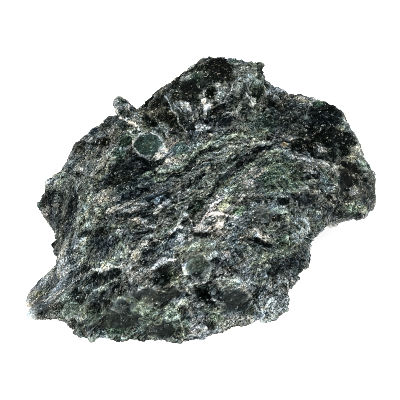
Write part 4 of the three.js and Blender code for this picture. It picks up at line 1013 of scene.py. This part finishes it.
def new_group(name, inputs, outputs):
    """A shader node group with named sockets: (name, kind, starting value) and (name, kind)."""
    tree = bpy.data.node_groups.new(name, "ShaderNodeTree")
    for title, kind, value in inputs:
        tree.interface.new_socket(title, in_out="INPUT", socket_type=kind).default_value = value
    for title, kind in outputs:
        tree.interface.new_socket(title, in_out="OUTPUT", socket_type=kind)
    return tree, add(tree, "NodeGroupInput").outputs, add(tree, "NodeGroupOutput").inputs


def place_group(tree, group, **values):
    """Places a group; each keyword feeds the input of that name."""
    node = add(tree, "ShaderNodeGroup", node_tree=group)
    for title, value in values.items():
        feed(tree, node.inputs[title], value)
    return node.outputs


FLOAT, VECTOR = "NodeSocketFloat", "NodeSocketVector"


def streak_group():
    """Noise drawn out along the layers: it varies over Along mm within a layer and Across mm through it.
    Line is 1 where the noise crosses its middle value, which makes thin wandering lines."""
    tree, given, gives = new_group(
        "layer_streaks",
        [("Place", VECTOR, (0, 0, 0)), ("Layer", FLOAT, 0), ("Along", FLOAT, 20), ("Across", FLOAT, 2),
         ("Detail", FLOAT, 4)],
        [("Streak", FLOAT), ("Line", FLOAT)])
    noise = add(tree, "ShaderNodeTexNoise", noise_dimensions="4D")
    place = scaled(tree, given["Place"], calc(tree, "DIVIDE", 1, given["Along"]))
    feed(tree, noise.inputs["Vector"], place)
    feed(tree, noise.inputs["W"], calc(tree, "DIVIDE", given["Layer"], given["Across"]))
    feed(tree, noise.inputs["Scale"], 1.0)
    feed(tree, noise.inputs["Detail"], given["Detail"])
    feed(tree, noise.inputs["Roughness"], 0.6)
    spread = calc(tree, "MULTIPLY_ADD", noise.outputs[0], 4.0, -2.0)
    feed(tree, gives["Streak"], spread)
    feed(tree, gives["Line"], span(tree, calc(tree, "ABSOLUTE", spread), 0.0, 0.16, 1, 0))
    return tree


def lens_group():
    """Overlapping mica lenses: cells Along mm long and Across mm thick through the layers. Tone is one
    random number per lens, Edge the distance to its border (0 at the border), Tilt a plane slanting its
    own way across each lens, for a bump."""
    tree, given, gives = new_group(
        "mica_lenses",
        [("Place", VECTOR, (0, 0, 0)), ("Layer", FLOAT, 0), ("Along", FLOAT, 6), ("Across", FLOAT, 3)],
        [("Tone", FLOAT), ("Other", FLOAT), ("Edge", FLOAT), ("Tilt", FLOAT)])
    place = scaled(tree, given["Place"], calc(tree, "DIVIDE", 1, given["Along"]))
    height = calc(tree, "DIVIDE", given["Layer"], given["Across"])
    cells = {}
    for feature in ("F1", "DISTANCE_TO_EDGE"):
        cells[feature] = add(tree, "ShaderNodeTexVoronoi", voronoi_dimensions="4D", feature=feature)
        feed(tree, cells[feature].inputs["Vector"], place)
        feed(tree, cells[feature].inputs["W"], height)
        feed(tree, cells[feature].inputs["Scale"], 1.0)
    random = cells["F1"].outputs["Color"]
    parts = add(tree, "ShaderNodeSeparateColor")
    feed(tree, parts.inputs[0], random)
    lean = combined(tree, random, (0.5, 0.5, 0.5), "SUBTRACT")
    inside = combined(tree, place, cells["F1"].outputs["Position"], "SUBTRACT")
    feed(tree, gives["Tone"], calc(tree, "MULTIPLY_ADD", parts.outputs[0], 2, -1))
    feed(tree, gives["Other"], calc(tree, "MULTIPLY_ADD", parts.outputs[1], 2, -1))
    feed(tree, gives["Edge"], cells["DISTANCE_TO_EDGE"].outputs["Distance"])
    feed(tree, gives["Tilt"], combined(tree, inside, lean, "DOT_PRODUCT"))
    return tree


def ramp(tree, value, stops):
    """Colour ramp through (place, colour) stops."""
    node = add(tree, "ShaderNodeValToRGB")
    elements = node.color_ramp.elements
    while len(elements) < len(stops):
        elements.new(1.0)
    for element, (place, color) in zip(elements, stops):
        element.position = place
        element.color = (*color, 1)
    feed(tree, node.inputs[0], value)
    return node.outputs[0]


def tinted(tree, color, amount, tint):
    """Multiplies a colour by a tint, in the given amount."""
    node = add(tree, "ShaderNodeMix", data_type="RGBA", blend_type="MULTIPLY")
    feed(tree, node.inputs[0], amount)
    feed(tree, node.inputs[6], color)
    feed(tree, node.inputs[7], (*tint, 1))
    return node.outputs[2]


ROCK_TONES = [  # from the black of deep mica to the white of bright flakes
    (0.0, (0.0004, 0.0013, 0.0011)),
    (0.20, (0.0030, 0.0048, 0.0044)),
    (0.34, (0.0180, 0.0242, 0.0226)),
    (0.50, (0.0755, 0.0875, 0.0815)),
    (0.66, (0.156, 0.172, 0.165)),
    (0.80, (0.302, 0.327, 0.316)),
    (0.92, (0.455, 0.48, 0.465)),
    (1.0, (0.69, 0.71, 0.695)),
]
MIDDLE_SHADE = 0.375  # where unmarked rock falls on these tones
BROWN_TINT, BLUE_TINT = (1.22, 0.97, 0.66), (0.70, 0.95, 1.3)
GREEN_TINT, PINK_TINT = (0.74, 1.06, 0.74), (1.12, 0.94, 1.08)
BUMP_DEPTH = 0.0006  # in metres


def mica_rock_material(streaks, lenses):
    """The rock's material, in four steps.

    Shade is the middle shade plus shares of the painted tone, of the broad streaks and large lenses, of
    the fine detail (threads, grain, small lenses and pale edges, weaker where calm and stronger where
    pale), of the painted glints and of the veins, less a painted shade that grows as the place lies
    sunk in small and large hollows. The ramp turns it into a colour.
    Hue is the warmth plus shares of two lens sizes less the broad streaks: it tints towards brown where
    positive and blue where negative, and green likewise towards green or pink.
    Gloss is a roughness near 0.42 with a thin clear coat on the lenses that would glint.
    Relief is the tilt of the lenses with some grain and fibre, as a bump of up to 0.6 mm.
    """
    material = bpy.data.materials.new("mica_rock")
    material.use_nodes = True
    tree = material.node_tree
    surface = tree.nodes["Principled BSDF"]
    place = scaled(tree, add(tree, "ShaderNodeTexCoord").outputs["Object"], 1000)
    layer = attribute(tree, "layer")
    tone, warmth, green = (attribute(tree, key) for key in ("tone", "warmth", "green"))
    calm, hollow_shade, deep = (attribute(tree, key) for key in ("calm", "hollow_shade", "deep"))
    fibrous = attribute(tree, "fibrous")
    rough = calc(tree, "SUBTRACT", 1, calc(tree, "MULTIPLY", calm, 0.8))

    # Everything wavers a little, so that no line runs straight.
    wander = add(tree, "ShaderNodeTexNoise", noise_dimensions="3D")
    feed(tree, wander.inputs["Vector"], place)
    feed(tree, wander.inputs["Scale"], 0.16)
    feed(tree, wander.inputs["Detail"], 3.0)
    stray = combined(tree, wander.outputs["Color"], (0.5, 0.5, 0.5), "SUBTRACT")
    bent = combined(tree, place, scaled(tree, stray, 5.0))
    level = calc(tree, "ADD", layer, calc(tree, "MULTIPLY_ADD", wander.outputs[0], 5.0, -2.5))

    broad = place_group(tree, streaks, Place=bent, Layer=level, Along=30.0, Across=4.5, Detail=2.0)
    broad = broad["Streak"]
    fibres = place_group(tree, streaks, Place=bent, Layer=level, Along=12.0, Across=0.65, Detail=3.0)
    sheets = place_group(tree, streaks, Place=bent, Layer=level, Along=16.0, Across=5.0, Detail=4.0)
    grain = add(tree, "ShaderNodeTexNoise", noise_dimensions="3D")
    feed(tree, grain.inputs["Vector"], place)
    feed(tree, grain.inputs["Scale"], 1.2)
    feed(tree, grain.inputs["Detail"], 2.0)
    feed(tree, grain.inputs["Roughness"], 0.7)
    grain = calc(tree, "MULTIPLY_ADD", grain.outputs[0], 4.0, -2.0)
    large = place_group(tree, lenses, Place=bent, Layer=level, Along=9.0, Across=5.0)
    middling = place_group(tree, lenses, Place=bent, Layer=level, Along=5.5, Across=2.6)
    small = place_group(tree, lenses, Place=bent, Layer=level, Along=1.8, Across=0.9)

    # Thin pale lines: rims where one lens overlaps the next, edges of the sheets, and the placed veins.
    speck = span(tree, grain, -0.9, 0.7)
    seams = calc(tree, "MULTIPLY", span(tree, large["Edge"], 0.015, 0.08, 1, 0), 0.75)
    edges = calc(tree, "MAXIMUM", calc(tree, "MULTIPLY", sheets["Line"], 0.8), seams)
    rims = calc(tree, "MULTIPLY", span(tree, middling["Edge"], 0.01, 0.09, 1, 0), 0.6)
    edges = calc(tree, "MAXIMUM", edges, rims)
    patches = calc(tree, "MULTIPLY", speck, span(tree, broad, -0.9, 0.7, 0.25, 1))
    edges = calc(tree, "MULTIPLY", edges, patches)
    vein_side = mixture(tree, (attribute(tree, "vein_side"), 1), (grain, 0.25), (fibres["Streak"], 0.2))
    vein = span(tree, calc(tree, "ABSOLUTE", vein_side), 0.5, 1.2, 1, 0)
    vein = calc(tree, "MULTIPLY", vein, span(tree, attribute(tree, "vein_gap"), 1.8, 2.6, 1, 0))
    vein = calc(tree, "MULTIPLY", vein, attribute(tree, "vein"))

    # White specks among the small lenses, strongest on the dark rock: painted glints of flakes that catch
    # the light.
    painted_glint = calc(tree, "MULTIPLY", span(tree, small["Other"], 0.78, 0.88), span(tree, grain, -0.4, 0.5))
    painted_glint = calc(tree, "MULTIPLY", painted_glint, span(tree, tone, -0.9, 0.1, 0.6, 0.2))
    threads = mixture(tree, (fibres["Streak"], 0.17), (fibres["Line"], 0.12))
    threads = calc(tree, "MULTIPLY", threads, calc(tree, "MULTIPLY_ADD", fibrous, 0.65, 0.35))
    detail = mixture(
        tree, (threads, 1), (grain, 0.17), (small["Tone"], 0.16), (middling["Tone"], 0.06),
        (attribute(tree, "flake_tone"), 0.04), (edges, 0.42))
    lively = calc(tree, "MULTIPLY", rough, span(tree, tone, -0.9, 0.8, 0.5, 1.4))
    # The two sunk readings pull the shade down: painted shade, darker in small and large hollows.
    shade = mixture(
        tree, (tone, 0.33), (broad, 0.03), (large["Tone"], 0.04), (attribute(tree, "chip_tone"), 0.02),
        (calc(tree, "MULTIPLY", detail, lively), 1.0), (painted_glint, 1.0), (vein, 0.44), (hollow_shade, -0.14),
        (deep, -0.01))
    shade = calc(tree, "ADD", shade, MIDDLE_SHADE, clamp=True)
    color = ramp(tree, shade, ROCK_TONES)

    hue = mixture(tree, (warmth, 1.0), (large["Other"], 0.26), (small["Other"], 0.15), (broad, -0.17))
    color = tinted(tree, color, calc(tree, "MULTIPLY", hue, 1.1, clamp=True), BROWN_TINT)
    color = tinted(tree, color, calc(tree, "MULTIPLY", hue, -1.15, clamp=True), BLUE_TINT)
    color = tinted(tree, color, calc(tree, "MULTIPLY", green, 1.35, clamp=True), GREEN_TINT)
    color = tinted(tree, color, calc(tree, "MULTIPLY", green, -1.1, clamp=True), PINK_TINT)
    feed(tree, surface.inputs["Base Color"], color)

    gloss = mixture(tree, (small["Other"], 0.14), (grain, 0.05), (calm, -0.06))
    feed(tree, surface.inputs["Roughness"], calc(tree, "ADD", gloss, 0.42, clamp=True))
    surface.inputs["Specular IOR Level"].default_value = 0.01
    glint = span(tree, mixture(tree, (small["Tone"], 0.6), (large["Other"], 0.5), (grain, 0.2)), 0.5, 0.8)
    feed(tree, surface.inputs["Coat Weight"], mixture(tree, (glint, 0.26), (calm, 0.14)))
    surface.inputs["Coat Roughness"].default_value = 0.16

    bump = add(tree, "ShaderNodeBump")
    relief = mixture(
        tree, (small["Tilt"], 1.4), (large["Tilt"], 1.2), (grain, 0.10), (fibres["Streak"], 0.12))
    feed(tree, bump.inputs["Height"], calc(tree, "MULTIPLY", relief, rough))
    bump.inputs["Distance"].default_value = BUMP_DEPTH
    bump.inputs["Strength"].default_value = 0.9
    feed(tree, surface.inputs["Normal"], bump.outputs[0])
    return material


# ---------- the boulder ----------

points, quads, upper, readings = boulder_surface()
mica_rock = mica_rock_material(streak_group(), lens_group())
for name, chosen in (("mica_boulder_front", upper), ("mica_boulder_back", ~upper)):
    used, corners = np.unique(quads[chosen], return_inverse=True)
    shown = {key: values[used] for key, values in readings.items()}
    skin = mesh_piece(name, standing(points[used]), corners.reshape(-1, 4), shown, mica_rock)
    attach(skin, "root")
    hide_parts("mica_boulder")

# ---------- floor, light and camera ----------

paper = bpy.data.materials.new("pale_floor")
paper.use_nodes = True
paper_surface = paper.node_tree.nodes["Principled BSDF"].inputs
paper_surface["Base Color"].default_value = (0.45, 0.45, 0.45, 1)
paper_surface["Emission Color"].default_value = (1, 1, 1, 1)
paper_surface["Emission Strength"].default_value = 0.82
paper_surface["Roughness"].default_value = 0.9
paper_surface["Specular IOR Level"].default_value = 0.0
FLOOR_HALF = 8000
corners = np.array([[-1, -1, 0], [1, -1, 0], [1, 1, 0], [-1, 1, 0]]) * FLOOR_HALF
floor = mesh_piece("floor", corners, np.array([[0, 1, 2, 3]]), {}, paper)


def sun(name, azimuth, elevation, spread, strength):
    """A soft sun: azimuth in degrees from -Y towards +X, elevation above level, spread of its disc."""
    light = bpy.data.lights.new(name, "SUN")
    light.angle = math.radians(spread)
    light.energy = strength
    lamp = bpy.data.objects.new(name, light)
    lamp.rotation_euler = (math.radians(90 - elevation), 0, math.radians(azimuth))
    bpy.context.scene.collection.objects.link(lamp)


sun("overhead_light", azimuth=10, elevation=78, spread=80, strength=2.75)
sun("front_light", azimuth=-15, elevation=28, spread=30, strength=1.5)

world = bpy.data.worlds.new("pale_room")
world.use_nodes = True
world.node_tree.nodes["Background"].inputs["Color"].default_value = (1, 1, 1, 1)
world.node_tree.nodes["Background"].inputs["Strength"].default_value = 0.48
bpy.context.scene.world = world
bpy.context.scene.view_settings.view_transform = "Standard"
bpy.context.scene.cycles.denoising_prefilter = "NONE"
bpy.context.scene.cycles.filter_width = 0.7

EYE = np.array([[1.43, -0.71, SIGHT_DISTANCE]])  # the camera's place in the face frame, in mm
SENSOR_WIDTH = 36  # mm
FOCAL = 2.1 * SENSOR_WIDTH
camera = bpy.data.objects.new("front_camera", bpy.data.cameras.new("front_camera"))
camera.data.sensor_width = SENSOR_WIDTH
camera.data.lens = FOCAL
camera.data.clip_end = 30
camera.location = to_boulder(EYE)[0] * MM
camera.rotation_euler = (math.pi / 2 - LEAN, 0, 0)
bpy.context.scene.collection.objects.link(camera)
bpy.context.scene.camera = camera
